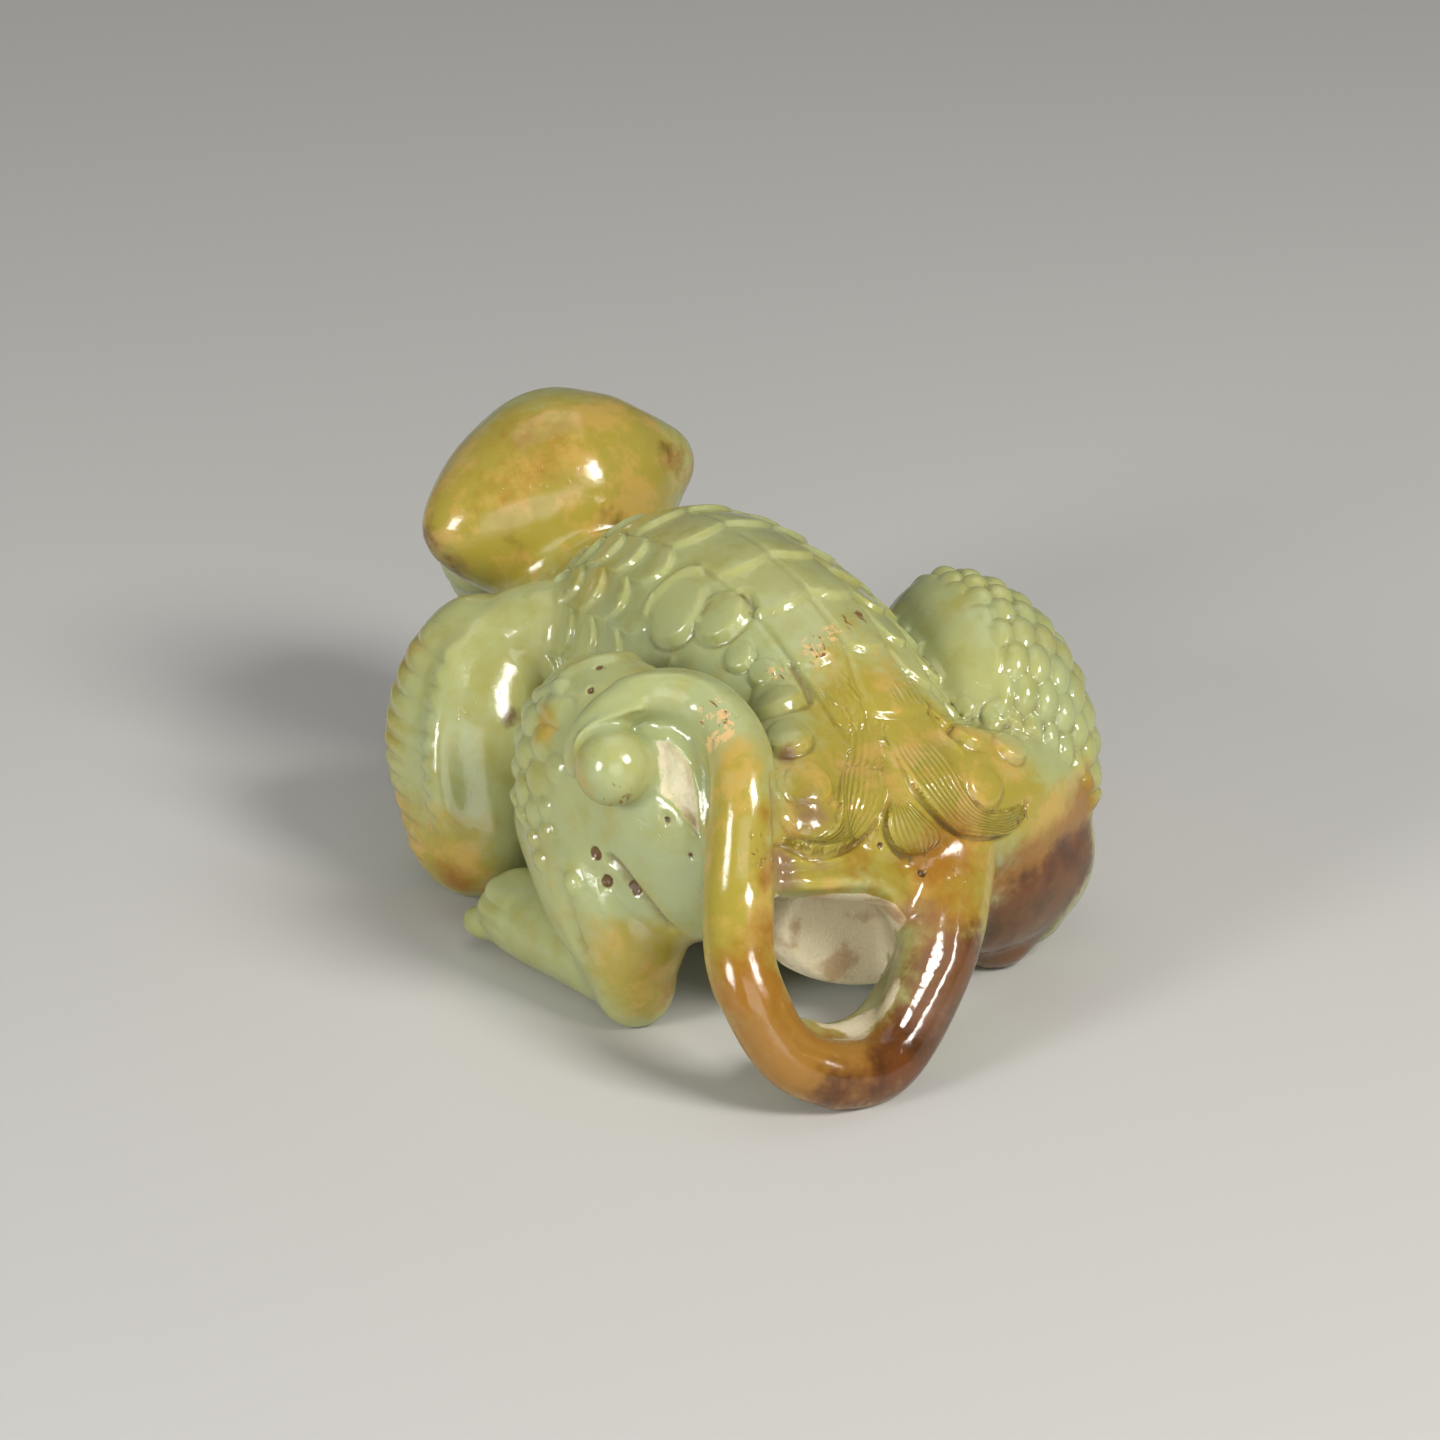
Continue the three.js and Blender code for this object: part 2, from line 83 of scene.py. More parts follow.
class Line:
    """The line that a form follows, cut into even steps, with the frame and the girth at each step.
    Aside is ahead cross up, above is aside cross ahead, and swell rounds both ends off as a ball does."""

    def __init__(self, stations, up=UPWARD, steps=500):
        rows = np.array([[*row, row[-1]] if len(row) == 5 else row for row in stations], float)
        fine = smooth_through(rows, np.linspace(0, len(rows) - 1, steps))
        run = np.concatenate([[0], np.cumsum(np.linalg.norm(np.diff(fine[:, :3], axis=0), axis=1))])
        self.length = run[-1]
        self.place = np.linspace(0, self.length, steps)
        even = np.stack([np.interp(self.place, run, fine[:, k]) for k in range(6)], axis=1)
        self.spine, self.girth = even[:, :3], even[:, 3:]
        ahead = np.gradient(self.spine, axis=0)
        self.ahead = ahead / np.linalg.norm(ahead, axis=1)[:, None]
        aside = np.cross(self.ahead, up)
        self.aside = aside / np.linalg.norm(aside, axis=1)[:, None]
        self.above = np.cross(self.aside, self.ahead)
        self.ends = [min(rows[k, 3:5].mean(), self.length * LONGEST_CAP) for k in (0, -1)]
        first = np.clip(1 - self.place / self.ends[0], 0, 1)
        last = np.clip(1 - (self.length - self.place) / self.ends[1], 0, 1)
        self.swell = np.sqrt(1 - np.maximum(first, last) ** 2)

    def at(self, place):
        """Spine, aside, above and girth at given places along the line."""
        pick = lambda table: np.stack([np.interp(place, self.place, table[:, k]) for k in range(3)], axis=1)
        return pick(self.spine), pick(self.aside), pick(self.above), pick(self.girth)


# %% [markdown]
# ## From the line to a closed skin
# The ring is an ellipse whose upper and lower halves differ. Rings are strung closer at the two rounded
# ends, and each end closes on one point, so that every form is watertight before any of them are joined.


# %% A closed skin round a line
def skin(line, spacing=0.35):
    """Rings round the line: point = spine + side * cos(angle) * aside + height * sin(angle) * above."""
    first, last = line.ends
    turns = np.linspace(0, math.pi / 2, 9)
    middle = np.arange(first + spacing, line.length - last, spacing)
    place = np.concatenate([first * (1 - np.cos(turns)), middle, line.length - last * (1 - np.cos(turns[::-1]))])
    swell = np.concatenate([np.sin(turns), np.ones(len(middle)), np.sin(turns[::-1])])
    spine, aside, above, girth = line.at(place)
    count = max(12, int(2 * math.pi * girth.max() / spacing))
    angle = np.linspace(0, 2 * math.pi, count, endpoint=False)
    side, over, under = (girth * swell[:, None]).T
    height = np.where(np.sin(angle)[None, :] > 0, over[:, None], under[:, None]) * np.sin(angle)
    across = side[:, None] * np.cos(angle)
    rings = spine[:, None] + across[..., None] * aside[:, None] + height[..., None] * above[:, None]
    return closed(rings[1:-1], spine[0], spine[-1])


def closed(rings, first, last):
    """Points and faces of a stack of rings, closed by a fan to one point at each end, facing outwards."""
    rows, count = rings.shape[:2]
    i, j = np.meshgrid(np.arange(rows - 1), np.arange(count), indexing="ij")
    k = (j + 1) % count
    quads = np.stack([i * count + j, (i + 1) * count + j, (i + 1) * count + k, i * count + k], axis=-1)
    start, end = rows * count, rows * count + 1
    j = np.arange(count)
    k = (j + 1) % count
    top = (rows - 1) * count
    fans = [np.stack([np.full(count, start), j, k], 1), np.stack([np.full(count, end), top + k, top + j], 1)]
    points = np.concatenate([rings.reshape(-1, 3), [first], [last]])
    return points, [*quads.reshape(-1, 4).tolist(), *fans[0].tolist(), *fans[1].tolist()]


def ball(centre, radius, spacing=0.3):
    """A sphere as rings of sin(turn) radius, stacked at cos(turn) height."""
    count = int(2 * math.pi * radius / spacing)
    turn = np.linspace(0, math.pi, count // 2)[1:-1, None]
    angle = np.linspace(0, 2 * math.pi, count, endpoint=False)[None, :]
    rings = np.stack([np.sin(turn) * np.cos(angle), np.sin(turn) * np.sin(angle), -np.cos(turn) + 0 * angle], -1)
    points, faces = closed(rings * radius, [0, 0, -radius], [0, 0, radius])
    return points + np.array(centre), [face[::-1] for face in faces]


# %% [markdown]
# ## Meshes in and out of Blender
# Blender's modifiers do the joining and the thinning, and numpy does the shaping in between. Small helpers
# carry points both ways, always as whole arrays.


# %% Carrying meshes
def mesh_from(points, faces, name="working"):
    mesh = bpy.data.meshes.new(name)
    mesh.from_pydata(np.asarray(points).tolist(), [], faces)
    mesh.update()
    return mesh


def joined(skins):
    """Several closed skins as the one list of points and faces."""
    points, faces, start = [], [], 0
    for some, shape in skins:
        points.append(some)
        faces.extend([[corner + start for corner in face] for face in shape])
        start += len(some)
    return np.concatenate(points), faces


def worked(mesh, *steps):
    """The mesh after modifiers, each given as its kind and its settings."""
    holder = bpy.data.objects.new("working", mesh)
    bpy.context.scene.collection.objects.link(holder)
    for kind, settings in steps:
        modifier = holder.modifiers.new(kind.lower(), kind)
        for setting, value in settings.items():
            setattr(modifier, setting, value)
    graph = bpy.context.evaluated_depsgraph_get()
    done = bpy.data.meshes.new_from_object(holder.evaluated_get(graph))
    bpy.data.objects.remove(holder)
    bpy.data.meshes.remove(mesh)
    return done


def positions(mesh):
    co = np.empty(len(mesh.vertices) * 3, np.float32)
    mesh.vertices.foreach_get("co", co)
    return co.reshape(-1, 3).astype(float)


def normals(mesh):
    out = np.empty(len(mesh.vertices) * 3, np.float32)
    mesh.vertex_normals.foreach_get("vector", out)
    return out.reshape(-1, 3).astype(float)


def edges(mesh):
    ends = np.empty(len(mesh.edges) * 2, np.int32)
    mesh.edges.foreach_get("vertices", ends)
    return ends.reshape(-1, 2)


def moved(mesh, points):
    mesh.vertices.foreach_set("co", np.ascontiguousarray(points, np.float32).ravel())
    mesh.update()


def cut(skin_to_cut, tool):
    """A closed skin with a closed tool taken out of it."""
    cutter = bpy.data.objects.new("cutter", mesh_from(*tool))
    bpy.context.scene.collection.objects.link(cutter)
    settings = {"operation": "DIFFERENCE", "solver": "MANIFOLD", "object": cutter}
    done = worked(mesh_from(*skin_to_cut), ("BOOLEAN", settings))
    bpy.data.objects.remove(cutter)
    return positions(done), [list(face.vertices) for face in done.polygons]


# %% [markdown]
# ## The body
# The trunk and the low body under it are two rounded forms that lie on each other, because the real carving
# is round above and ground flat below. The rump is a broad form from flank to flank, with a fuller one low on
# the right and a narrow one beside the tail. They are kept apart from the tail for now, because the hollow
# under the rump is cut first.

# %% Trunk, low body and rump
TRUNK = Line([
    [0, -13.2, 11.0, 4.0, 2.6, 3.5],
    [0, -8.0, 12.3, 6.5, 5.1, 5.0],
    [0, 0.0, 13.5, 8.1, 8.8, 7.0],
    [0, 8.0, 14.2, 8.6, 10.0, 8.0],
    [0, 15.5, 13.8, 8.6, 9.7, 8.0],
    [0, 22.0, 13.0, 7.1, 7.2, 7.0],
    [0, 29.0, 12.5, 5.0, 4.5, 5.0],
])
LOW_BODY = Line([
    [-2.2, -12.6, 6.4, 8.0, 4.4, 5.4],
    [0, -4.0, 6.8, 7.5, 5.0, 5.6],
    [0, 5.0, 7.2, 9.0, 5.0, 8.0],
    [0, 14.0, 8.0, 9.0, 5.0, 8.7],
    [0, 24.0, 8.2, 7.5, 5.0, 8.0],
    [0, 31.0, 8.5, 5.0, 4.0, 4.0],
])
RUMP = Line([
    [-6.5, -8.4, 12.6, 3.2, 3.0, 3.4],
    [-2.5, -8.9, 12.3, 4.3, 4.0, 4.2],
    [3.0, -8.8, 11.8, 4.8, 4.0, 4.2],
    [8.0, -7.4, 10.8, 5.2, 4.0, 4.2],
    [12.0, -5.0, 9.6, 5.2, 4.2, 4.2],
    [15.0, -2.8, 8.6, 4.4, 4.2, 4.2],
], up=FORWARD)
LOW_RIGHT = Line([
    [3.0, -7.2, 7.2, 3.8, 4.0, 4.4],
    [7.0, -6.6, 6.6, 5.4, 4.4, 5.0],
    [11.5, -4.4, 6.2, 5.6, 4.6, 5.2],
    [15.3, -2.2, 5.4, 4.6, 4.4, 4.4],
], up=FORWARD)
BESIDE_TAIL = Line([
    [-3.4, -2.4, 17.9, 2.0, 2.0],
    [-5.9, -7.0, 15.7, 2.8, 2.8],
    [-6.8, -9.4, 13.7, 2.8, 2.8],
    [-7.8, -12.2, 11.6, 2.0, 2.0],
])
body = [skin(line) for line in (TRUNK, LOW_BODY, RUMP, LOW_RIGHT, BESIDE_TAIL)]
print("trunk", round(TRUNK.length, 1), "mm long,", sum(len(form[0]) for form in body), "points in the body")

# %% [markdown]
# ## Hind limbs
# Each hind limb folds on itself: a broad haunch above, a shank that slopes down behind it and a foot that
# comes forward again. The two differ, because the left one carries the tail's curl and sits further forward.

# %% Hind limbs
LEFT_HAUNCH = Line([
    [-10.6, -8.8, 7.2, 2.6, 3.4, 3.6],
    [-11.6, -4.5, 11.0, 4.4, 7.6, 6.4],
    [-12.6, 2.0, 13.0, 5.3, 8.0, 6.0],
    [-12.9, 8.5, 12.0, 4.0, 5.6, 4.4],
])
RIGHT_HAUNCH = Line([
    [8.5, -8.0, 9.0, 4.5, 4.5, 5.5],
    [10.9, -3.0, 11.0, 6.0, 9.4, 8.5],
    [11.4, 3.0, 11.5, 5.4, 9.8, 7.5],
    [11.4, 9.0, 10.5, 4.0, 6.0, 5.0],
])
LEFT_SHANK = Line([
    [-14.6, 6.2, 13.2, 2.8, 3.4],
    [-15.0, 3.4, 11.0, 3.1, 4.2],
    [-15.1, -0.2, 8.0, 3.1, 4.4],
    [-14.5, -3.2, 4.6, 2.8, 3.6],
    [-14.3, -3.4, 2.2, 2.5, 2.3],
    [-14.1, -2.8, -0.4, 2.1, 1.8],
])
RIGHT_SHANK = Line([
    [14.2, 5.0, 9.0, 3.4, 3.0],
    [14.0, 0.0, 6.4, 3.2, 3.6],
    [11.6, -5.2, 4.8, 3.2, 3.9],
    [8.6, -8.8, 3.4, 2.8, 3.4],
])
LEFT_FOOT = Line([
    [-13.6, -4.8, 2.0, 2.3, 2.2],
    [-13.9, 1.5, 2.2, 2.6, 2.4],
    [-14.8, 7.5, 2.5, 2.8, 2.7],
    [-15.1, 12.0, 2.4, 2.5, 2.5],
])
RIGHT_FOOT = Line([
    [7.6, -8.8, 2.0, 2.6, 2.2],
    [12.0, 0.5, 2.2, 2.8, 2.4],
    [15.0, 7.5, 2.5, 2.8, 2.7],
    [15.4, 9.8, 2.2, 2.6, 2.4],
])
hind_limbs = [skin(line) for line in (LEFT_HAUNCH, RIGHT_HAUNCH, LEFT_SHANK, RIGHT_SHANK, LEFT_FOOT, RIGHT_FOOT)]


# %% Toes
TOE_RADIUS, TOE_LENGTH, TOE_SPREAD, TOE_SPLAY = 1.15, 3.0, 1.6, 0.25


def toes(x, y, z):
    """Three short rounded forms side by side, the outer two a little shorter and turned out."""
    for across in (-TOE_SPREAD, 0, TOE_SPREAD):
        tip = [x + across * (1 + TOE_SPLAY), y + TOE_LENGTH - TOE_SPLAY * abs(across), z - 0.4]
        yield skin(Line([[x + across, y, z, TOE_RADIUS, TOE_RADIUS], [*tip, 0.8 * TOE_RADIUS, 0.8 * TOE_RADIUS]]))


hind_limbs += [*toes(-15.1, 9.8, 1.7), *toes(15.4, 8.6, 1.6)]
print(len(hind_limbs), "forms in the hind limbs")

# %% [markdown]
# ## The hollow under the rump
# Behind the tail's loop the carver sawed straight in and left a flat, unpolished wall. A prism with one
# rounded corner is taken out of each form, which gives the same shape as cutting their sum.

# %% The hollow
HOLLOW_TOP, HOLLOW_LEFT, HOLLOW_RIGHT, HOLLOW_CORNER = 9.4, -9.4, -1.4, 2.4
HOLLOW_WALL, HOLLOW_DEPTH, BELOW_GROUND = -9.0, 10.0, -6.0


def hollow():
    """A prism along Y whose outline is a rectangle with a quarter circle at its upper right corner."""
    turn = np.linspace(0, math.pi / 2, 13)
    arc_x = HOLLOW_RIGHT - HOLLOW_CORNER * (1 - np.cos(turn))
    arc_z = HOLLOW_TOP - HOLLOW_CORNER * (1 - np.sin(turn))
    x = np.concatenate([[HOLLOW_LEFT, HOLLOW_RIGHT + HOLLOW_CORNER], arc_x, [HOLLOW_LEFT]])
    z = np.concatenate([[BELOW_GROUND, BELOW_GROUND], arc_z, [HOLLOW_TOP]])
    count = len(x)
    back = np.stack([x, np.full(count, HOLLOW_WALL), z], 1)
    front = back - [0, HOLLOW_DEPTH, 0]
    sides = [[k, (k + 1) % count, count + (k + 1) % count, count + k] for k in range(count)]
    caps = [list(range(count))[::-1], list(range(count, 2 * count))]
    return np.concatenate([back, front]), sides + caps


forms = [cut(form, hollow()) for form in body + hind_limbs[:2]] + hind_limbs[2:]
print("hollow cut:", [len(form[0]) for form in forms[:6]], "points left in the forms it meets")

# %% [markdown]
# ## Forelimbs
# The forelimbs are folded at the elbow, with the forearm along the ground. A raised ridge runs down the
# outside of each, and catches one long highlight.

# %% Forelimbs
SHOULDER_TOP = {LEFT: 16.6, RIGHT: 14.6}
FORELIMB = {}
for side in (LEFT, RIGHT):
    top = SHOULDER_TOP[side]
    FORELIMB[side] = Line([[side * 7.6, 23.5, top, 2.2, 2.4], [side * 10.2, 23.0, top - 3.0, 4.2, 4.8],
                           [side * 12.0, 21.4, 9.6, 5.2, 5.6], [side * 12.8, 19.2, 5.0, 4.4, 5.0],
                           [side * 13.6, 15.4, 1.2, 3.6, 4.2]], up=FORWARD)
    ridge = Line([[side * 10.6, 21.4, top + 0.4, 0.6, 0.6], [side * 13.6, 19.9, top - 1.8, 1.0, 0.9],
                  [side * 15.2, 18.4, 11.6, 1.3, 1.0], [side * 15.9, 17.3, 8.2, 1.3, 1.0],
                  [side * 15.6, 16.4, 5.2, 1.1, 0.9], [side * 14.4, 16.4, 2.2, 0.7, 0.7]], up=FORWARD)
    forearm = Line([[side * 12.0, 17.0, 2.6, 2.8, 2.8], [side * 10.0, 25.0, 2.6, 2.8, 2.8],
                    [side * 8.0, 31.0, 2.4, 2.8, 2.6], [side * 7.4, 35.5, 2.0, 2.8, 2.2]])
    blade = Line([[side * 11.8, 21.8, top - 3.2, 2.4, 2.4], [side * 9.2, 21.2, top - 1.8, 3.2, 3.2],
                  [side * 7.2, 19.8, top - 0.8, 3.2, 3.2], [side * 5.2, 17.6, top + 0.4, 2.4, 2.4]])
    forms += [skin(FORELIMB[side]), skin(blade), skin(ridge, 0.25), skin(forearm), *toes(side * 7.4, 33.6, 1.5)]

# %% [markdown]
# ## The head
# The photograph shows the head from behind only: a smooth broad dome that narrows to a point at each side.
# The face is finished in keeping with it and plainer: heavy brows over round eyes, a broad nose, a short
# closed muzzle with one groove for the mouth.

# %% Head
EYE_RADIUS, EYE_CENTRE = 1.35, (3.2, 36.7, 18.8)
DOME = Line([
    [-10.5, 30.2, 19.3, 0.9, 1.0, 1.0],
    [-8.2, 30.4, 19.3, 3.3, 3.4, 3.2],
    [-4.6, 30.8, 19.4, 5.6, 6.0, 5.4],
    [0, 31.2, 19.8, 6.8, 7.2, 6.6],
    [4.4, 30.8, 20.4, 5.4, 6.0, 5.2],
    [7.0, 30.4, 20.7, 3.0, 3.4, 3.0],
    [8.7, 30.2, 20.3, 0.9, 1.0, 1.0],
], up=FORWARD)
SKULL = Line([[0, 25.6, 18.0, 5.0, 4.6, 4.0], [0, 28.5, 19.0, 6.4, 6.0, 6.0], [0, 32.0, 18.9, 7.0, 7.6, 7.0],
              [0, 37.5, 16.8, 5.8, 6.2, 6.0]])
MUZZLE = Line([[0, 31.5, 14.0, 4.6, 4.0], [0, 36.5, 13.4, 5.2, 3.8], [0, 41.5, 12.6, 4.4, 3.2]])
NECK = Line([[0, 22.0, 14.0, 6.0, 5.0, 6.0], [0, 28.0, 15.4, 6.2, 5.0, 6.0], [0, 33.0, 16.0, 6.0, 5.0, 6.0]])
NOSE = Line([[-2.2, 39.6, 15.2, 1.0, 0.9], [0, 40.2, 16.0, 1.5, 1.3], [2.2, 39.6, 15.2, 1.0, 0.9]])
MOUTH = Line([[-5.8, 37.4, 12.9, 0.3, 0.35], [-3.6, 41.0, 12.0, 0.45, 0.4], [0, 42.0, 12.2, 0.5, 0.4],
              [3.6, 41.0, 12.0, 0.45, 0.4], [5.8, 37.4, 12.9, 0.3, 0.35]])
mouth = skin(MOUTH, 0.2)
forms += [cut(skin(line), mouth) for line in (SKULL, MUZZLE)] + [skin(DOME), skin(NECK), skin(NOSE, 0.25)]
for side in (LEFT, RIGHT):
    brow = Line([[side * 0.6, 37.4, 20.6, 0.9, 0.9], [side * 3.2, 37.0, 21.5, 1.3, 1.1],
                 [side * 6.0, 34.2, 20.3, 0.9, 0.9]])
    cheek = Line([[side * 3.8, 38.4, 15.2, 1.6, 1.8], [side * 4.8, 35.0, 15.4, 2.0, 2.6],
                  [side * 4.6, 32.0, 16.4, 1.6, 2.0]])
    x, y, z = EYE_CENTRE
    forms += [skin(brow, 0.25), skin(cheek), ball((side * x, y, z), EYE_RADIUS)]

# %% [markdown]
# ## The tail
# The tail drops from the rump, rounds a free loop at ground height, climbs the left thigh and curls round a
# ball there. The loop is a slab, so a second run lies behind it. A bar closes its top and turns down along
# the right branch, and a web joins the left run to the rump.

# %% The tail
BALL_CENTRE, BALL_RADIUS = (-16.45, -4.9, 17.35), 2.3
BEHIND = Line([[2.0, -9.5, 9.0, 2.4, 2.6, 2.6], [0.4, -12.6, 5.6, 1.9, 2.4, 2.2], [-4.4, -15.2, 2.2, 1.8, 1.9, 2.0],
               [-8.8, -16.2, 1.9, 1.8, 1.8, 1.9], [-12.0, -15.4, 3.4, 1.8, 1.8, 1.8]], up=ACROSS_LOOP)
BAR = Line([[-0.9, -13.9, 5.6, 1.3, 1.3], [-1.6, -13.1, 8.8, 1.5, 1.5], [-2.7, -12.6, 10.1, 1.5, 1.5],
            [-6.3, -12.7, 11.4, 1.5, 1.5], [-9.5, -12.4, 12.1, 1.5, 1.5], [-12.0, -12.0, 12.4, 1.2, 1.2]],
           up=BACKWARD)
WEB = Line([[-9.6, -7.6, 17.6, 1.2, 1.4], [-9.4, -9.8, 14.8, 1.7, 1.9], [-9.4, -11.0, 12.0, 1.8, 2.0]], up=BACKWARD)
TAIL = Line([[3.4, -9.2, 13.4, 3.0, 3.0], [2.1, -11.2, 9.8, 3.1, 3.4, 3.1], [-0.9, -15.5, 6.2, 2.3, 3.2, 2.3],
             [-5.6, -18.2, 2.05, 2.0, 2.2, 2.0], [-9.4, -19.06, 1.9, 2.0, 2.0], [-12.7, -18.3, 3.6, 2.0, 2.0],
             [-14.2, -16.0, 7.9, 2.0, 2.0], [-12.9, -13.0, 11.3, 2.05, 2.05], [-11.3, -10.9, 16.4, 1.95, 1.95],
             [-10.4, -8.3, 18.8, 1.9, 1.9], [-11.0, -5.5, 20.3, 1.8, 1.8], [-13.3, -4.2, 21.1, 1.4, 1.4],
             [-15.6, -3.0, 20.0, 1.2, 1.2], [-17.3, -2.6, 18.2, 1.0, 1.0], [-17.9, -3.0, 16.2, 0.7, 0.7]],
            up=ACROSS_LOOP)
forms += [skin(line, 0.25) for line in (BEHIND, BAR, WEB, TAIL)] + [ball(BALL_CENTRE, BALL_RADIUS, 0.2)]
print("tail", round(TAIL.length, 1), "mm round its loop and curl;", len(forms), "forms in all")

# %% [markdown]
# ## One skin
# All the forms overlap, so together they enclose one solid. Blender's voxel remesh keeps only what is solid
# inside, at a grain of a quarter of a millimetre. The joins are still sharp then, so each pass below lifts
# only the points that lie in a crease, which leaves a fillet there and every round form untouched.

# %% One skin
GRAIN = 0.24
stone = worked(mesh_from(*joined(forms)), ("REMESH", {"mode": "VOXEL", "voxel_size": GRAIN}))
print("one skin:", len(stone.vertices), "points")


# %% Fillets in the creases
def neighbour_mean(values, ends, count):
    """For each point the mean of its neighbours' values, summed edge by edge."""
    both = np.concatenate([ends[:, 0], ends[:, 1]]), np.concatenate([ends[:, 1], ends[:, 0]])
    links = np.bincount(both[0], minlength=len(values))
    sums = [np.bincount(both[0], weights=values[both[1], k], minlength=len(values)) for k in range(count)]
    return np.stack(sums, axis=1) / np.maximum(links, 1)[:, None]


def filleted(mesh, rounds):
    """rounds holds for each point how many passes it takes. Each pass moves a point out along its normal
    by as much as its neighbours' mean lies outside it."""
    points, ends = positions(mesh), edges(mesh)
    for turn in range(int(rounds.max())):
        outside = ((neighbour_mean(points, ends, 3) - points) * normals(mesh)).sum(1)
        lift = np.clip(outside, 0, None) * (rounds > turn)
        points = points + lift[:, None] * normals(mesh)
        moved(mesh, points)
    return points


points = positions(stone)
x, y, z = points.T
SHOULDERS_FROM, HEAD_FROM, SHANK_LEFT_OF, SHANK_UNDER = 13, 29, -10.5, 6
rounds = np.full(len(points), 8)
rounds[y > SHOULDERS_FROM] = 24
rounds[y > HEAD_FROM] = 12
rounds[(y < -8) & (x > -10) & (z < 13)] = 16
rounds[(x < SHANK_LEFT_OF) & (y < 0) & (z < SHANK_UNDER)] = 90
points = filleted(stone, rounds)

# %% [markdown]
# ## Smoothing
# The front of the beast is worn smooth, and the end of the left shank is one long soft lobe. There each point
# moves half the way to its neighbours' mean, a few times over. The share of the move fades to nothing within
# a millimetre, so that no step is left where the smoothing stops.

# %% Smoothing
FRONT_TURNS, SHANK_TURNS = 12, 60
x, y, z = points.T
front_half = np.clip(y - 12.5, 0, 1)
shank_end = np.clip(SHANK_LEFT_OF - x, 0, 1) * np.clip(0.5 - y, 0, 1) * np.clip(SHANK_UNDER + 1 - z, 0, 1)
ends = edges(stone)
for turn in range(SHANK_TURNS):
    share = np.maximum(front_half * (turn < FRONT_TURNS), shank_end)[:, None]
    points = points + 0.5 * share * (neighbour_mean(points, ends, 3) - points)
moved(stone, points)
stone = worked(stone, ("SUBSURF", {"levels": 1, "render_levels": 1}))
print("after fillets and one subdivision:", len(stone.vertices), "points")

# %% [markdown]
# ## Where a point lies on a form
# The relief is drawn on each form in its own two directions: how far along its line, and at what angle round
# it. This finds both for every point of the grown skin, by the nearest step of the line, and says how far
# the point stands off that form, so that relief fades where another form has taken over.


# %% Finding places on a form
def soft(low, high, value):
    """0 below low, 1 above high, and an S-curve between."""
    t = np.clip((value - low) / (high - low), 0, 1)
    return t * t * (3 - 2 * t)


def located(points, line, part=4000):
    """Place along the line, angle in degrees (0 aside, 90 above) and distance off the form in millimetres.
    Past an end of the line the distance beyond it is added, so that no relief is thrown on what lies ahead."""
    place, angle, off = (np.empty(len(points)) for _ in range(3))
    squares = (line.spine**2).sum(1)
    for start in range(0, len(points), part):
        some = points[start:start + part]
        k = (squares[None, :] - 2 * some @ line.spine.T).argmin(1)
        away = some - line.spine[k]
        x, z, beyond = ((away * axis[k]).sum(1) for axis in (line.aside, line.above, line.ahead))
        side, over, under = (line.girth[k] * np.maximum(line.swell[k], 0.05)[:, None]).T
        high = np.where(z > 0, over, under)
        ratio = np.hypot(x / side, z / high)
        size = np.hypot(x, z)
        here = slice(start, start + part)
        place[here] = line.place[k] + beyond
        angle[here] = np.degrees(np.arctan2(z / high, x / side)) % 360
        off[here] = size - size / np.maximum(ratio, 1e-6) + np.abs(beyond)
    return place, angle, off


points = positions(stone)
facing = normals(stone)
height = np.zeros(len(points))
# three stains, one of which also lays painted shade under the head, a painted purple-brown sheen, broken and
# unpolished stone, settled dirt, small flecks, and where and how hair is combed
MARKS = ("honey", "amber", "russet", "plum_sheen", "chip", "raw", "grime", "flecks", "hair", "comb")
marks = {name: np.zeros(len(points)) for name in MARKS}


def near(line, reach=1.5):
    """Indices of the points inside the form's own box."""
    size = line.girth.max() + reach
    low, high = line.spine.min(0) - size, line.spine.max(0) + size
    return np.flatnonzero(((points > low) & (points < high)).all(1))


# %% [markdown]
# ## Where the eye sees a mark
# A carver marks a scale where it looks right, not at three coordinates. So the marks are given as the eye
# meets them from the side that shows the carving best: so many millimetres across and up from the middle of
# the view. Each is carried along the line of sight to the skin, and from then on it belongs to the stone.

# %% The eye and the skin
VIEWPOINT = np.array([-161.996, -269.185, 142.148])
ACROSS = np.array([0.86603, -0.5, 0.0])
RISING = np.array([0.18730, 0.32442, 0.92718])
INTO = np.cross(RISING, ACROSS)
SIGHT_DISTANCE = 351.97
away = points - VIEWPOINT
depth = away @ INTO
sight_a, sight_b = (SIGHT_DISTANCE * (away @ axis) / depth for axis in (ACROSS, RISING))


def seen(a, b, reach=0.3):
    """Place and normal of the skin at (a, b): the means of the points there, the front-most 0.8 mm of them."""
    off = np.hypot(sight_a - a, sight_b - b)
    close = np.flatnonzero(off < reach)
    if len(close) < 3:
        close = np.argpartition(off, 12)[:12]
    front = close[depth[close] < depth[close].min() + 0.8]
    normal = facing[front].mean(0)
    return points[front].mean(0), normal / np.linalg.norm(normal)


# a point is in sight if it faces the viewpoint and lies just behind the front-most point of its cell
CELL, JUST_BEHIND = 0.25, 1.2
row, column = (np.floor((sight - sight.min()) / CELL).astype(int) for sight in (sight_b, sight_a))
cell = row * (column.max() + 1) + column
front = np.full(cell.max() + 1, np.inf)
np.minimum.at(front, cell, depth)
in_sight = (((VIEWPOINT - points) * facing).sum(1) > 0) & (depth < front[cell] + JUST_BEHIND)
print("in sight:", int(in_sight.sum()), "of", len(points), "points")


def around(centre, reach):
    """Indices and distances of the points within reach of a place."""
    who = np.flatnonzero((np.abs(points - centre) < reach).all(1))
    off = np.linalg.norm(points[who] - centre, axis=1)
    return who[off < reach], off[off < reach]


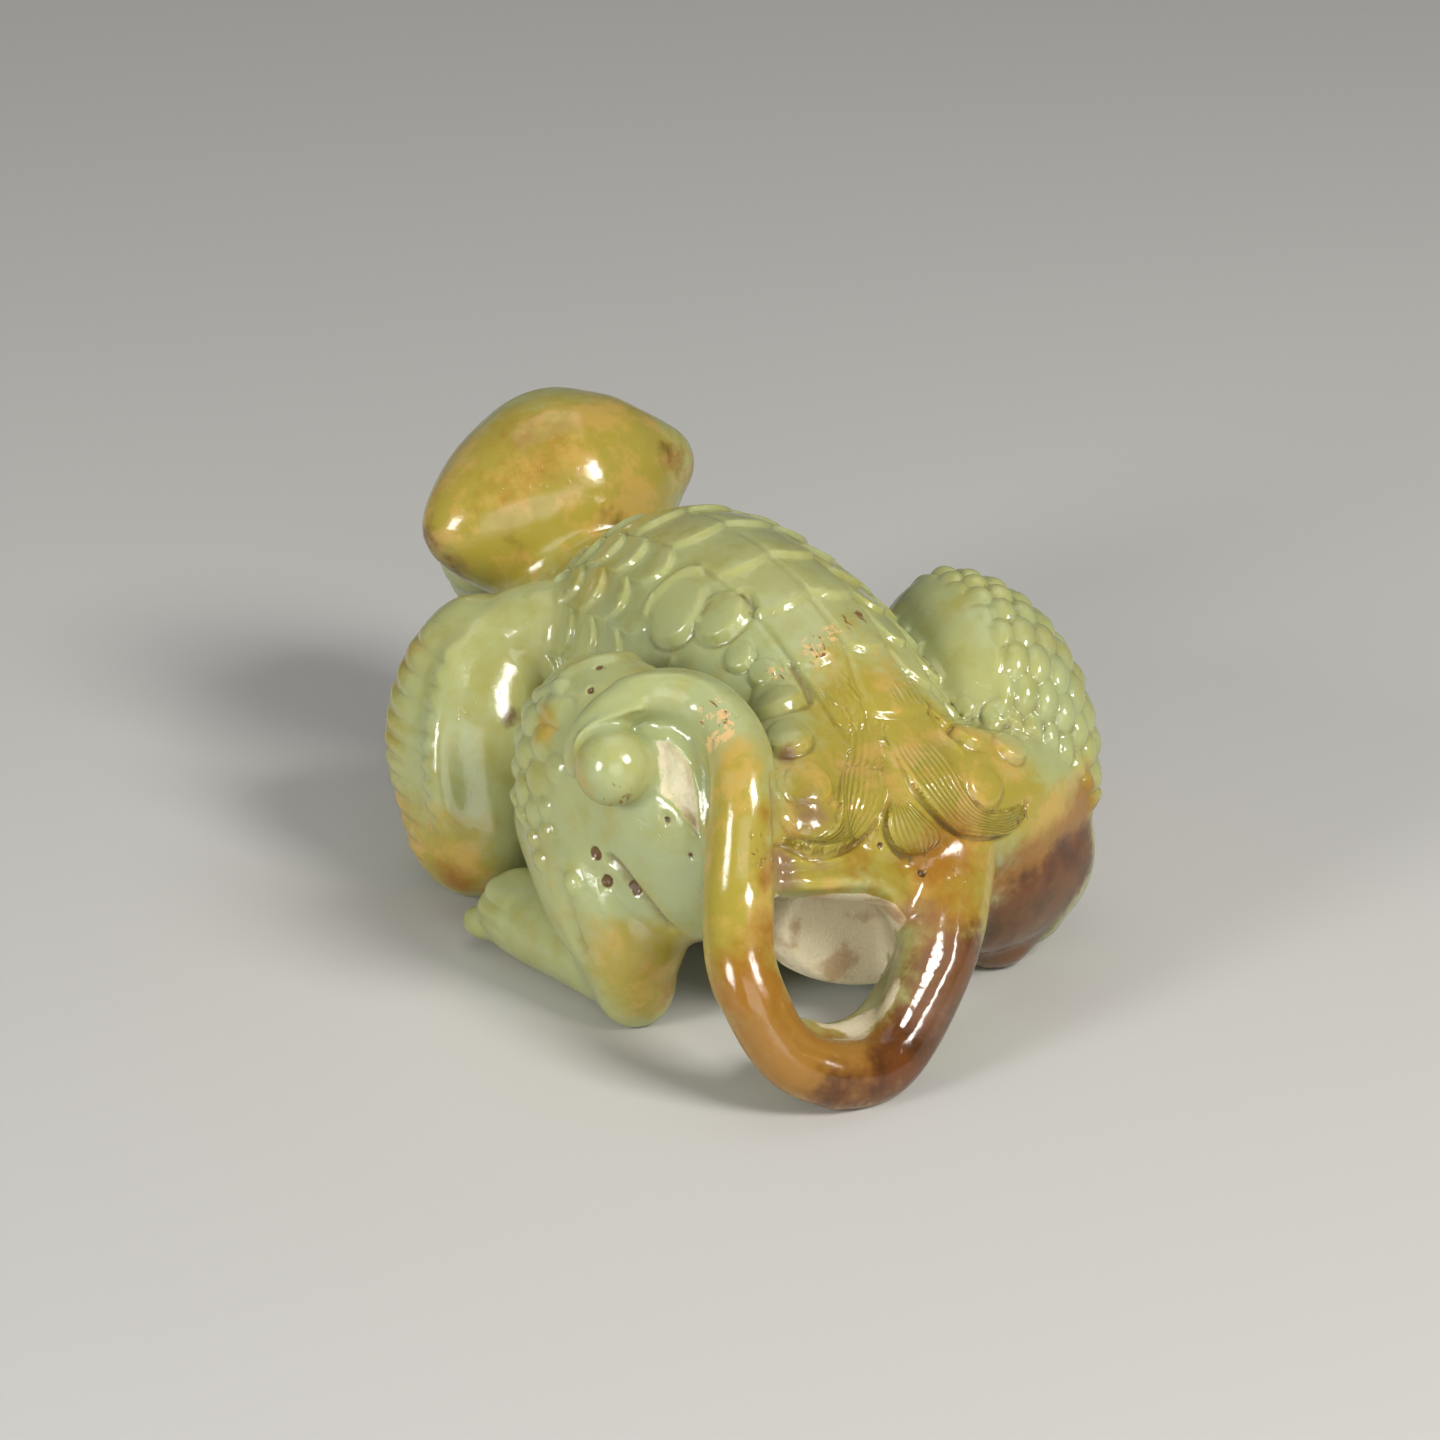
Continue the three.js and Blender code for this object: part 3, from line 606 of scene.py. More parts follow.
def drawn(course, reach):
    """Points within reach of a smooth line through the seen places: their indices, their share of the way
    along it, and their distance to its right, measured in the skin."""
    through = np.array([seen(*spot)[0] for spot in course])
    fine = smooth_through(through, np.linspace(0, len(through) - 1, 24 * len(through)))
    low, high = fine.min(0) - reach, fine.max(0) + reach
    who = np.flatnonzero(((points > low) & (points < high)).all(1))
    k = ((fine**2).sum(1)[None, :] - 2 * points[who] @ fine.T).argmin(1)
    close = np.linalg.norm(points[who] - fine[k], axis=1) < reach
    who, k = who[close], k[close]
    ahead = np.gradient(fine, axis=0)[k]
    right = np.cross(ahead, facing[who])
    right /= np.linalg.norm(right, axis=1)[:, None]
    return who, k / (len(fine) - 1), ((points[who] - fine[k]) * right).sum(1)


def in_window(low, high):
    """Indices of the points in sight between two corners of the view."""
    inside = (sight_a > low[0]) & (sight_a < high[0]) & (sight_b > low[1]) & (sight_b < high[1])
    return np.flatnonzero(in_sight & inside)


RUNGS = 160


def ribbon(outer, inner, margin=0.5):
    """Points in sight between two edges: their indices, their run from 0 to 1 along the ribbon, their
    share across it (-1 at the inner edge, 1 at the outer) and the half width there. The edges are joined
    by many straight rungs, and each point takes the rung that lies nearest."""
    outer, inner = (smooth_through(np.array(edge, float), np.linspace(0, len(edge) - 1, RUNGS))
                    for edge in (outer, inner))
    both = np.concatenate([outer, inner])
    who = in_window(both.min(0) - margin, both.max(0) + margin)
    at = np.stack([sight_a[who], sight_b[who]], 1)
    middle, half = (outer + inner) / 2, (outer - inner) / 2
    away = at[:, None] - middle[None]
    share = (away * half[None]).sum(2) / (half**2).sum(1)[None]
    off = np.linalg.norm(away - np.clip(share, -1, 1)[..., None] * half[None], axis=2)
    k = off.argmin(1)
    share = share[np.arange(len(who)), k]
    close = off[np.arange(len(who)), k] < margin
    return who[close], k[close] / (RUNGS - 1), share[close], np.linalg.norm(half, axis=1)[k[close]]


def patch(outline, margin=1.0):
    """Points in sight in and about an outline, and how far inside it each lies, negative outside."""
    corners = np.array(outline, float)
    who = in_window(corners.min(0) - margin, corners.max(0) + margin)
    at = np.stack([sight_a[who], sight_b[who]], 1)
    inside, off = np.zeros(len(who), bool), np.full(len(who), np.inf)
    for first, second in zip(corners, np.roll(corners, -1, axis=0)):
        side = second - first
        level = (first[1] > at[:, 1]) != (second[1] > at[:, 1])
        inside ^= level & (at[:, 0] < first[0] + side[0] * (at[:, 1] - first[1]) / (side[1] or 1.0))
        along = np.clip((at - first) @ side / (side @ side), 0, 1)
        off = np.minimum(off, np.linalg.norm(at - first - along[:, None] * side, axis=1))
    return who, np.where(inside, off, -off)


# %% [markdown]
# ## Three tools for relief
# Most of the carving is made with three strokes of a small wheel: a round bead, a scale with one free edge,
# and a line that is either cut in or left standing. Each tool adds its height to the skin's.


# %% Bead, scale and line
def bead(a, b, radius, rise):
    """rise * (1 - d^2)^0.8 within the radius, d being the distance in radii. A negative rise is a pit."""
    who, off = around(seen(a, b)[0], radius)
    d = off / radius
    lift = rise * np.clip(1 - d**2, 0, 1) ** 0.8
    height[who] = np.where(rise > 0, np.maximum(height[who], lift), height[who] + lift)
    return who, d


LIP, TRENCH = 0.8, 0.3


def scale(a, b, toward, long, wide, rise):
    """A pillow that rises from its root to its free edge, long and wide being half sizes. Height is
    rise * ramp * fall, the ramp growing towards the free edge and the fall closing it at d = 1."""
    centre, normal = seen(a, b)
    ahead = ACROSS * toward[0] + RISING * toward[1]
    ahead -= normal * (ahead @ normal)
    ahead /= np.linalg.norm(ahead)
    who, off = around(centre, 1.5 * max(long, wide))
    x = (points[who] - centre) @ ahead / long
    y = (points[who] - centre) @ np.cross(normal, ahead) / wide
    d = np.hypot(x, y)
    pillow = (0.35 + 0.65 * soft(-1.0, 0.7, x)) * (1 - 0.25 * d**2) * (1 - soft(LIP, 1.02, d))
    trench = np.exp(-(((d - 1.12) / 0.1) ** 2)) * soft(-0.4, 0.4, x)
    height[who] = np.where(d < 1.02, np.maximum(height[who], rise * pillow), height[who] - rise * TRENCH * trench)
    marks["grime"][who] = np.maximum(marks["grime"][who], 0.6 * trench)


TIPS = 0.12


def line_cut(course, width, rise, grime=0.0):
    """rise * exp(-(distance / width)^2), fading out over the tips. A negative rise cuts in."""
    who, share, right = drawn(course, 2.5 * width)
    shape = np.exp(-((right / width) ** 2)) * soft(0, TIPS, share) * (1 - soft(1 - TIPS, 1, share))
    height[who] += rise * shape
    marks["grime"][who] = np.maximum(marks["grime"][who], grime * shape)


# %% [markdown]
# ## Plates down the back
# Broad plates in two columns run down the back, with smaller scales beside them. A point belongs to the
# plate whose free edge it has just passed, and the plate's height falls away from that edge towards the
# head, so that every row lies under the next. The seam between the columns wanders a little to the left
# near the tail, as it does on the real one.


# %% Scale pattern
def rows_of_scales(along, across, pitch, bulge, lip, shift=0.0):
    """Height 0 to 1. across is in scale widths: its floor is the column and r runs from -1 to 1 over it.
    Free edges are at row * pitch - bulge * (1 - r^2), odd columns shifted."""
    column = np.floor(across)
    r = 2 * (across - column) - 1
    passed = (along + bulge * (1 - r**2) - np.where(column % 2 == 1, shift * pitch, 0)) % pitch
    return (1 - passed / pitch) * soft(0, lip, passed) * (0.6 + 0.4 * (1 - r**2))


PLATE_PITCH, PLATE_FIRST, PLATE_RISE, PLATE_LAST = 4.2, 6.8, 0.38, 34.0
FLANK_PITCH, FLANK_FIRST, FLANK_RISE, FLANK_WIDTH, FLANK_LOWEST = 2.8, 4.0, 0.4, 18.0, 99.0
# seams are in degrees from the top of the back
LEFT_SEAM, RIGHT_SEAM, SEAM_WIDTH, SEAM_DEPTH = 25.0, -22.0, 1.1, 0.09

who = near(TRUNK)
place, angle, off = located(points[who], TRUNK)
on_trunk = 1 - soft(0.45, 1.0, np.abs(off))
from_top = angle - 90
middle_seam = 9 * (1 - soft(6, 12, place))
right_seam = RIGHT_SEAM - 8 * (1 - soft(7, 11, place))
wide_left, wide_right = LEFT_SEAM - middle_seam, middle_seam - right_seam
column = np.where(from_top > middle_seam, 1 + (from_top - middle_seam) / wide_left,
                  (from_top - right_seam) / wide_right)
plates = rows_of_scales(place - PLATE_FIRST, column, PLATE_PITCH, 0.6, 0.5)
seams = [np.exp(-(((from_top - seam) / SEAM_WIDTH) ** 2)) for seam in (middle_seam, LEFT_SEAM, right_seam)]
starts = soft(PLATE_FIRST - 0.9, PLATE_FIRST - 0.5, place)
in_band = soft(-0.02, 0.04, column) * (1 - soft(1.96, 2.02, column))
ends = 1 - soft(PLATE_LAST, PLATE_LAST + 3, place)
lift = (PLATE_RISE * plates * in_band - SEAM_DEPTH * np.maximum.reduce(seams)) * starts * ends
out = np.maximum(from_top - LEFT_SEAM, right_seam - from_top)
on_right = from_top < 0
flank = rows_of_scales(place - FLANK_FIRST, out / FLANK_WIDTH, FLANK_PITCH, 1.0, 0.3, 0.5)
beside = soft(-0.7, 0.7, out) * (1 - soft(FLANK_LOWEST - 36, FLANK_LOWEST - 27, out))
unseen = np.maximum(soft(20, 24, place), on_right)
starts = soft(FLANK_FIRST - 1.5, FLANK_FIRST - 0.5, place)
lift += FLANK_RISE * flank * beside * starts * ends * unseen
height[who] += lift * on_trunk
print("plates and flank scales: up to", round(float((lift * on_trunk).max()), 2), "mm high")

# %% [markdown]
# ## Scales on the left flank and round the locks
# Where the eye sees them best, the scales differ one from the next, so each is set one by one: the place of its
# middle, the way its free edge points, and half its length and width.

# %% Scales set one by one
# across, up, toward, half length, half width, rise
FLANK_SCALES = [
    (-2.7, 6.9, (0.5, -1.0), 2.4, 2.2, 0.50),
    (0.0, 6.5, (0.9, -0.9), 1.9, 1.9, 0.55),
    (1.2, 4.0, (0.6, -1.0), 1.1, 1.0, 0.40),
    (2.7, 3.0, (0.6, -1.0), 1.0, 1.0, 0.36),
    (3.3, 1.5, (0.6, -1.0), 1.8, 1.8, 0.45),
    (4.2, -0.9, (0.3, -1.0), 1.5, 1.4, 0.45),
    (5.5, -3.9, (0.15, -1.0), 1.45, 1.6, 0.32),
    (5.6, -6.1, (0.05, -1.0), 1.3, 1.7, 0.24),
]
RIGHT_SCALES = [
    (15.6, -0.9, (-0.7, -1.0), 1.3, 1.2, 0.55),
    (15.0, 0.7, (-0.6, -1.0), 0.8, 0.8, 0.35),
    (17.2, 0.4, (-0.6, -1.0), 1.0, 0.9, 0.40),
    (18.0, -1.6, (0.3, -1.0), 1.2, 1.1, 0.45),
    (16.5, -4.1, (0.0, -1.0), 1.4, 1.3, 0.25),
    (13.4, 1.1, (-0.4, -1.0), 1.0, 0.9, 0.25),
]
for across, upward, toward, long, wide, rise in FLANK_SCALES + RIGHT_SCALES:
    scale(across, upward, toward, long, wide, rise)
line_cut([(-4.6, 6.0), (-4.2, 7.3), (-3.3, 8.4), (-2.0, 9.2), (-0.8, 9.3)], 0.35, 0.25)
line_cut([(1.1, 7.9), (1.7, 7.4), (2.3, 6.7)], 0.22, -0.22, 0.9)
line_cut([(4.2, 3.7), (5.0, 2.4), (5.7, 1.0)], 0.22, -0.24, 1.0)
print(len(FLANK_SCALES) + len(RIGHT_SCALES), "scales set one by one")

# %% [markdown]
# ## Small round scales on the thighs
# The thighs are covered by beads, set like bricks on the right one and strewn more thinly on the left. They
# stop on the inner face, and on the right thigh also below the line where the russet skin begins.


# %% Beads
def brick_beads(along, across, pitch, stretch):
    """Height 0 to 1 of domes whose centres sit on a triangular grid: 1 - d^2 of the nearest centre."""
    best = np.full(len(along), np.inf)
    row = np.round(along / (pitch * 0.87))
    for step in (-1, 0, 1):
        centre = (row + step) * pitch * 0.87
        shift = np.where((row + step) % 2 == 1, pitch / 2, 0)
        sideways = (across / stretch - shift + pitch / 2) % pitch - pitch / 2
        best = np.minimum(best, np.hypot(along - centre, sideways))
    return np.clip(1 - (best / (pitch * 0.52)) ** 2, 0, 1) ** 0.8


# the girths turn an angle round the haunch into millimetres
BEAD_RISE, THIGH_BEAD_RISE = 0.45, 0.32
RIGHT_PITCH, RIGHT_GIRTH, RIGHT_STRETCH = 1.45, 7.2, 1.25
LEFT_PITCH, LEFT_GIRTH, LEFT_STRETCH = 1.9, 6.4, 1.0
who = near(RIGHT_HAUNCH)
place, angle, off = located(points[who], RIGHT_HAUNCH)
turned = (angle + 90) % 360 - 90
lift = brick_beads(place, np.radians(turned) * RIGHT_GIRTH, RIGHT_PITCH, RIGHT_STRETCH)
outer = (1 - soft(86, 106, turned)) * soft(-34, -24, turned)
outer *= soft(8.2, 9.4, points[who, 2] - 0.12 * (points[who, 0] - 10))
height[who] += BEAD_RISE * lift * outer * (1 - soft(0.4, 0.9, np.abs(off)))

who = near(LEFT_HAUNCH)
place, angle, off = located(points[who], LEFT_HAUNCH)
lift = brick_beads(place, np.radians(angle) * LEFT_GIRTH, LEFT_PITCH, LEFT_STRETCH)
outer = soft(120, 132, angle) * (1 - soft(215, 235, angle)) * soft(12.0, 13.5, place)
height[who] += BEAD_RISE * lift * outer * (1 - soft(0.3, 0.7, np.abs(off)))
# across, up, radius
THIGH_BEADS = [(-10.1, 0.4, 0.8), (-10.2, -3.0, 1.0), (-10.9, -1.5, 0.8), (-12.1, -2.5, 0.7), (-12.3, -4.7, 0.8),
               (-10.9, -5.5, 0.8), (-10.8, -6.9, 0.7), (-11.2, -8.7, 0.7), (-9.2, -10.2, 0.8), (-11.6, -7.3, 0.6),
               (-9.9, 1.9, 0.7), (-11.0, 0.9, 0.7)]
for across, upward, radius in THIGH_BEADS:
    bead(across, upward, radius, THIGH_BEAD_RISE)
print(len(THIGH_BEADS), "beads on the left thigh beside the brick pattern")

# %% [markdown]
# ## Eyes and mouth
# The eyes are domes in a shallow ring, under a brow left standing, and the mouth and the two nostrils are cut
# in. They are placed as they are met from the front: so far aside, and so far above the ground.


# %% Eyes and mouth
def on_face(x, z, reach=0.4):
    """The foremost point of the skin near (x, z), met from the front."""
    close = np.flatnonzero((np.abs(points[:, 0] - x) < reach) & (np.abs(points[:, 2] - z) < reach))
    return points[close[points[close, 1].argmax()]]


def front_line(course, width, rise, grime=0.0):
    """rise * exp(-(distance / width)^2) round a smooth line through places met from the front."""
    through = np.array([on_face(*spot) for spot in course])
    fine = smooth_through(through, np.linspace(0, len(through) - 1, 24 * len(through)))
    who = np.flatnonzero((points[:, 1] > 30) & (np.abs(points[:, 2] - fine[:, 2].mean()) < 6))
    square = ((fine**2).sum(1)[None, :] - 2 * points[who] @ fine.T).min(1) + (points[who] ** 2).sum(1)
    shape = np.exp(-np.maximum(square, 0) / width**2)
    height[who] += rise * shape
    marks["grime"][who] = np.maximum(marks["grime"][who], grime * shape)


EYE_ASIDE, EYE_ABOVE, EYE_WIDE, EYE_TALL, EYE_RISE, RING_DEPTH = 3.3, 18.6, 1.5, 1.15, 0.6, 0.2
for side in (LEFT, RIGHT):
    middle = on_face(side * EYE_ASIDE, EYE_ABOVE)
    who, _ = around(middle, 2 * EYE_WIDE)
    d = np.hypot((points[who, 0] - middle[0]) / EYE_WIDE, (points[who, 2] - middle[2]) / EYE_TALL)
    height[who] += EYE_RISE * np.sqrt(np.clip(1 - d**2, 0, 1)) - RING_DEPTH * np.exp(-(((d - 1.25) / 0.2) ** 2))
    marks["grime"][who] = np.maximum(marks["grime"][who], 0.5 * np.exp(-(((d - 1.2) / 0.15) ** 2)))
    front_line([(side * 0.9, 19.4), (side * 2.2, 20.9), (side * 3.8, 21.3), (side * 5.6, 20.2)], 0.55, 0.4)
    front_line([(side * 0.8, 15.6), (side * 1.1, 15.4)], 0.4, -0.3, 0.8)
front_line([(-4.4, 13.0), (-2.4, 12.3), (0, 12.0), (2.4, 12.3), (4.4, 13.0)], 0.3, -0.35, 0.7)

# %% [markdown]
# ## Tail, thigh and forelimb
# The curl of the tail is a broad band with a sharp crest on its inner side, which holds the ball. A second,
# softer band follows the top of the thigh. Between ball and tail the drill left a rough triangular recess.
# Below it the thigh lies on the shank with a deep crease, and three small pits beside it are natural.

# %% Lines on the left side
line_cut([(-9.0, -2.6), (-8.8, -1.4), (-8.2, -0.6), (-7.3, 0.0), (-6.4, 0.4), (-5.3, 0.8), (-4.3, 0.9)], 0.3, 0.32)
line_cut([(-9.3, -0.2), (-8.6, 1.2), (-7.4, 2.1), (-6.0, 2.55), (-4.0, 2.6), (-1.8, 2.5), (0.2, 1.6)], 0.5, 0.12)
line_cut([(-10.6, 1.6), (-9.6, 2.9), (-8.0, 3.7), (-6.0, 4.2), (-4.0, 4.3)], 0.6, 0.3)
line_cut([(-7.3, -8.2), (-6.3, -9.2), (-5.5, -10.3), (-4.2, -11.8), (-2.6, -13.4)], 0.4, -0.4, 0.9)
line_cut([(-10.3, -8.9), (-9.6, -11.2), (-9.0, -13.2), (-8.3, -14.8)], 0.5, -0.3, 0.3)
line_cut([(5.0, -7.9), (5.9, -8.7), (7.2, -8.9), (8.6, -8.5)], 0.2, -0.12, 0.4)
line_cut([(3.4, -2.6), (3.6, -5.0), (3.75, -7.0), (3.9, -9.0), (4.1, -10.2)], 0.6, -0.35)
line_cut([(4.3, -8.9), (6.0, -9.3), (8.5, -9.2), (10.5, -8.9), (12.2, -9.2)], 0.5, -0.25)
line_cut([(4.4, -10.2), (6.2, -10.2), (8.4, -10.0), (9.8, -10.1), (10.8, -11.0), (11.3, -12.4)], 0.5, 0.3)

# %% [markdown]
# ## The bevel round the window
# The front of the loop was ground to a soft facet, which catches a broad highlight. Where the skin nearly
# faces the way the facet faces, it is taken down to the flat that cuts a ball of the bevel's radius at the
# half angle: radius * (cos(half angle) / cos(angle off the facet) - 1), and nothing beyond the half angle.

# %% Bevel
BEVELLED = [(3.4, -8.8), (12.0, -8.2), (15.0, -9.5), (14.6, -15.0), (12.0, -19.5), (8.5, -21.5), (5.0, -20.8),
            (3.0, -18.5), (3.4, -14.0)]
BEVEL = np.array([-0.13, -0.82, 0.55])
BEVEL_HALF, BEVEL_RADIUS = math.radians(28), 2.0
who, deep = patch(BEVELLED)
turned = np.maximum(facing[who] @ BEVEL, math.cos(BEVEL_HALF))
height[who] += BEVEL_RADIUS * (math.cos(BEVEL_HALF) / turned - 1) * soft(0.0, 0.8, deep)

# %% Recess and pits
RECESS_DEPTH = 0.45
RECESS = [(-4.2, -1.1), (-3.2, -1.0), (-2.3, -1.9), (-1.7, -2.8), (-1.3, -4.5), (-1.1, -7.4), (-1.6, -7.2),
          (-3.0, -5.3), (-3.9, -4.7), (-4.0, -2.5)]
who, deep = patch(RECESS)
height[who] -= RECESS_DEPTH * soft(0.0, 0.6, deep)
marks["raw"][who] = np.maximum(marks["raw"][who], 0.6 * soft(-0.1, 0.3, deep))

# across, up, radius
PITS = [(-7.7, -8.3, 0.5), (-7.0, -10.0, 0.42), (-5.6, -10.4, 0.3), (-5.3, -10.8, 0.3), (-8.0, 1.8, 0.25),
        (-7.5, 3.3, 0.25), (-3.3, -6.2, 0.2), (-1.8, -8.4, 0.15), (10.0, -7.8, 0.2), (12.6, -9.5, 0.25)]
for across, upward, radius in PITS:
    who, d = bead(across, upward, radius, -0.25)
    for name in ("grime", "russet"):
        marks[name][who] = np.maximum(marks[name][who], 1.3 * (1 - soft(0.6, 1.1, d)))
print(len(PITS), "pits")

# %% Bumps down the forelimbs
BUMP_PITCH, BUMP_RISE = 1.25, 0.26
for side in (LEFT, RIGHT):
    who = near(FORELIMB[side], 2.5)
    place, angle, off = located(points[who], FORELIMB[side])
    outward = (points[who, 0] * side - 12.5) / 4.0
    wave = np.abs(np.sin(np.pi * points[who, 2] / BUMP_PITCH)) ** 0.8
    edge_on = np.exp(-(((facing[who, 1] - 0.25) / 0.35) ** 2)) * soft(0.2, 0.7, facing[who, 0] * side)
    height[who] += BUMP_RISE * wave * edge_on * soft(0.0, 0.5, outward) * soft(1.5, 3.0, points[who, 2])

# %% [markdown]
# ## Hair
# Three locks lie over the root of the tail. Each is a ribbon between two edges, raised most along its outer
# edge, where it ends in a step with a fine groove under it. Its strokes keep to one share of the ribbon's
# width, so they gather where the lock narrows, as combed hair does. They are finer than the mesh, so the
# share is kept on the skin as a number, and the material turns it into grooves later.

# %% Locks
# outer edge, inner edge, rise
STROKES, TIP_FROM = 9, 0.97
LOCKS = [
    ([(9.9, -2.2), (10.3, -3.4), (10.2, -4.9), (9.6, -6.2), (8.6, -7.4), (7.3, -8.2), (6.0, -8.4),
      (4.9, -8.1), (4.0, -7.6)],
     [(7.9, -2.2), (7.5, -3.4), (7.3, -4.7), (7.2, -5.8), (6.9, -6.6), (6.2, -7.2), (5.4, -7.5),
      (4.7, -7.5), (4.0, -7.3)],
     0.80),
    ([(10.5, -1.2), (11.0, -2.6), (11.9, -4.2), (13.1, -5.6), (14.4, -6.8), (15.8, -7.3), (17.1, -7.2),
      (18.2, -6.6), (18.8, -5.4)],
     [(12.7, -0.7), (13.7, -1.8), (14.5, -2.9), (15.1, -4.1), (15.8, -5.1), (16.6, -5.6), (17.4, -5.6),
      (18.2, -5.4), (18.6, -5.2)],
     0.62),
    ([(10.6, -4.6), (10.3, -5.8), (10.3, -6.9), (10.9, -7.9), (12.0, -8.4)],
     [(11.4, -4.6), (12.5, -5.8), (13.7, -6.8), (13.7, -7.5), (12.8, -8.2)],
     0.50),
]
for outer, inner, rise in LOCKS:
    who, run, share, half = ribbon(outer, inner)
    body_of_lock = soft(0.0, 0.12, (1 - np.abs(share)) * half) * soft(0.0, 0.3, run) * (1 - soft(TIP_FROM, 1.0, run))
    under_edge = np.exp(-((((share - 1) * half - 0.12) / 0.12) ** 2)) * soft(0.1, 0.4, run)
    groove = 0.5 - 0.5 * np.cos(np.pi * STROKES * share)
    height[who] += rise * body_of_lock * (0.72 + 0.28 * share) - 0.2 * under_edge - 0.05 * groove * body_of_lock
    marks["grime"][who] = np.maximum(marks["grime"][who], 0.5 * under_edge)
    better = body_of_lock > marks["hair"][who]
    marks["comb"][who] = np.where(better, share * STROKES / 2, marks["comb"][who])
    marks["hair"][who] = np.maximum(marks["hair"][who], body_of_lock)

# %% Combed strokes above the locks
# course, half width, strokes
COMBED = [
    ([(9.1, 0.3), (9.2, -0.9), (9.1, -2.2), (8.9, -3.2)], 1.2, 6),
    ([(7.0, 2.6), (7.5, 1.6), (8.1, 0.8)], 1.1, 5),
    ([(11.0, 2.2), (11.4, 1.4), (11.9, 0.5)], 1.1, 5),
]
for course, half, strokes in COMBED:
    who, share, right = drawn(course, half)
    amount = 0.75 * (1 - soft(0.75, 1.0, np.abs(right) / half)) * soft(0, 0.25, share) * (1 - soft(0.85, 1, share))
    better = amount > marks["hair"][who]
    marks["comb"][who] = np.where(better, right / half * strokes / 2, marks["comb"][who])
    marks["hair"][who] = np.maximum(marks["hair"][who], amount)
print("hair on", int((marks["hair"] > 0.5).sum()), "points")
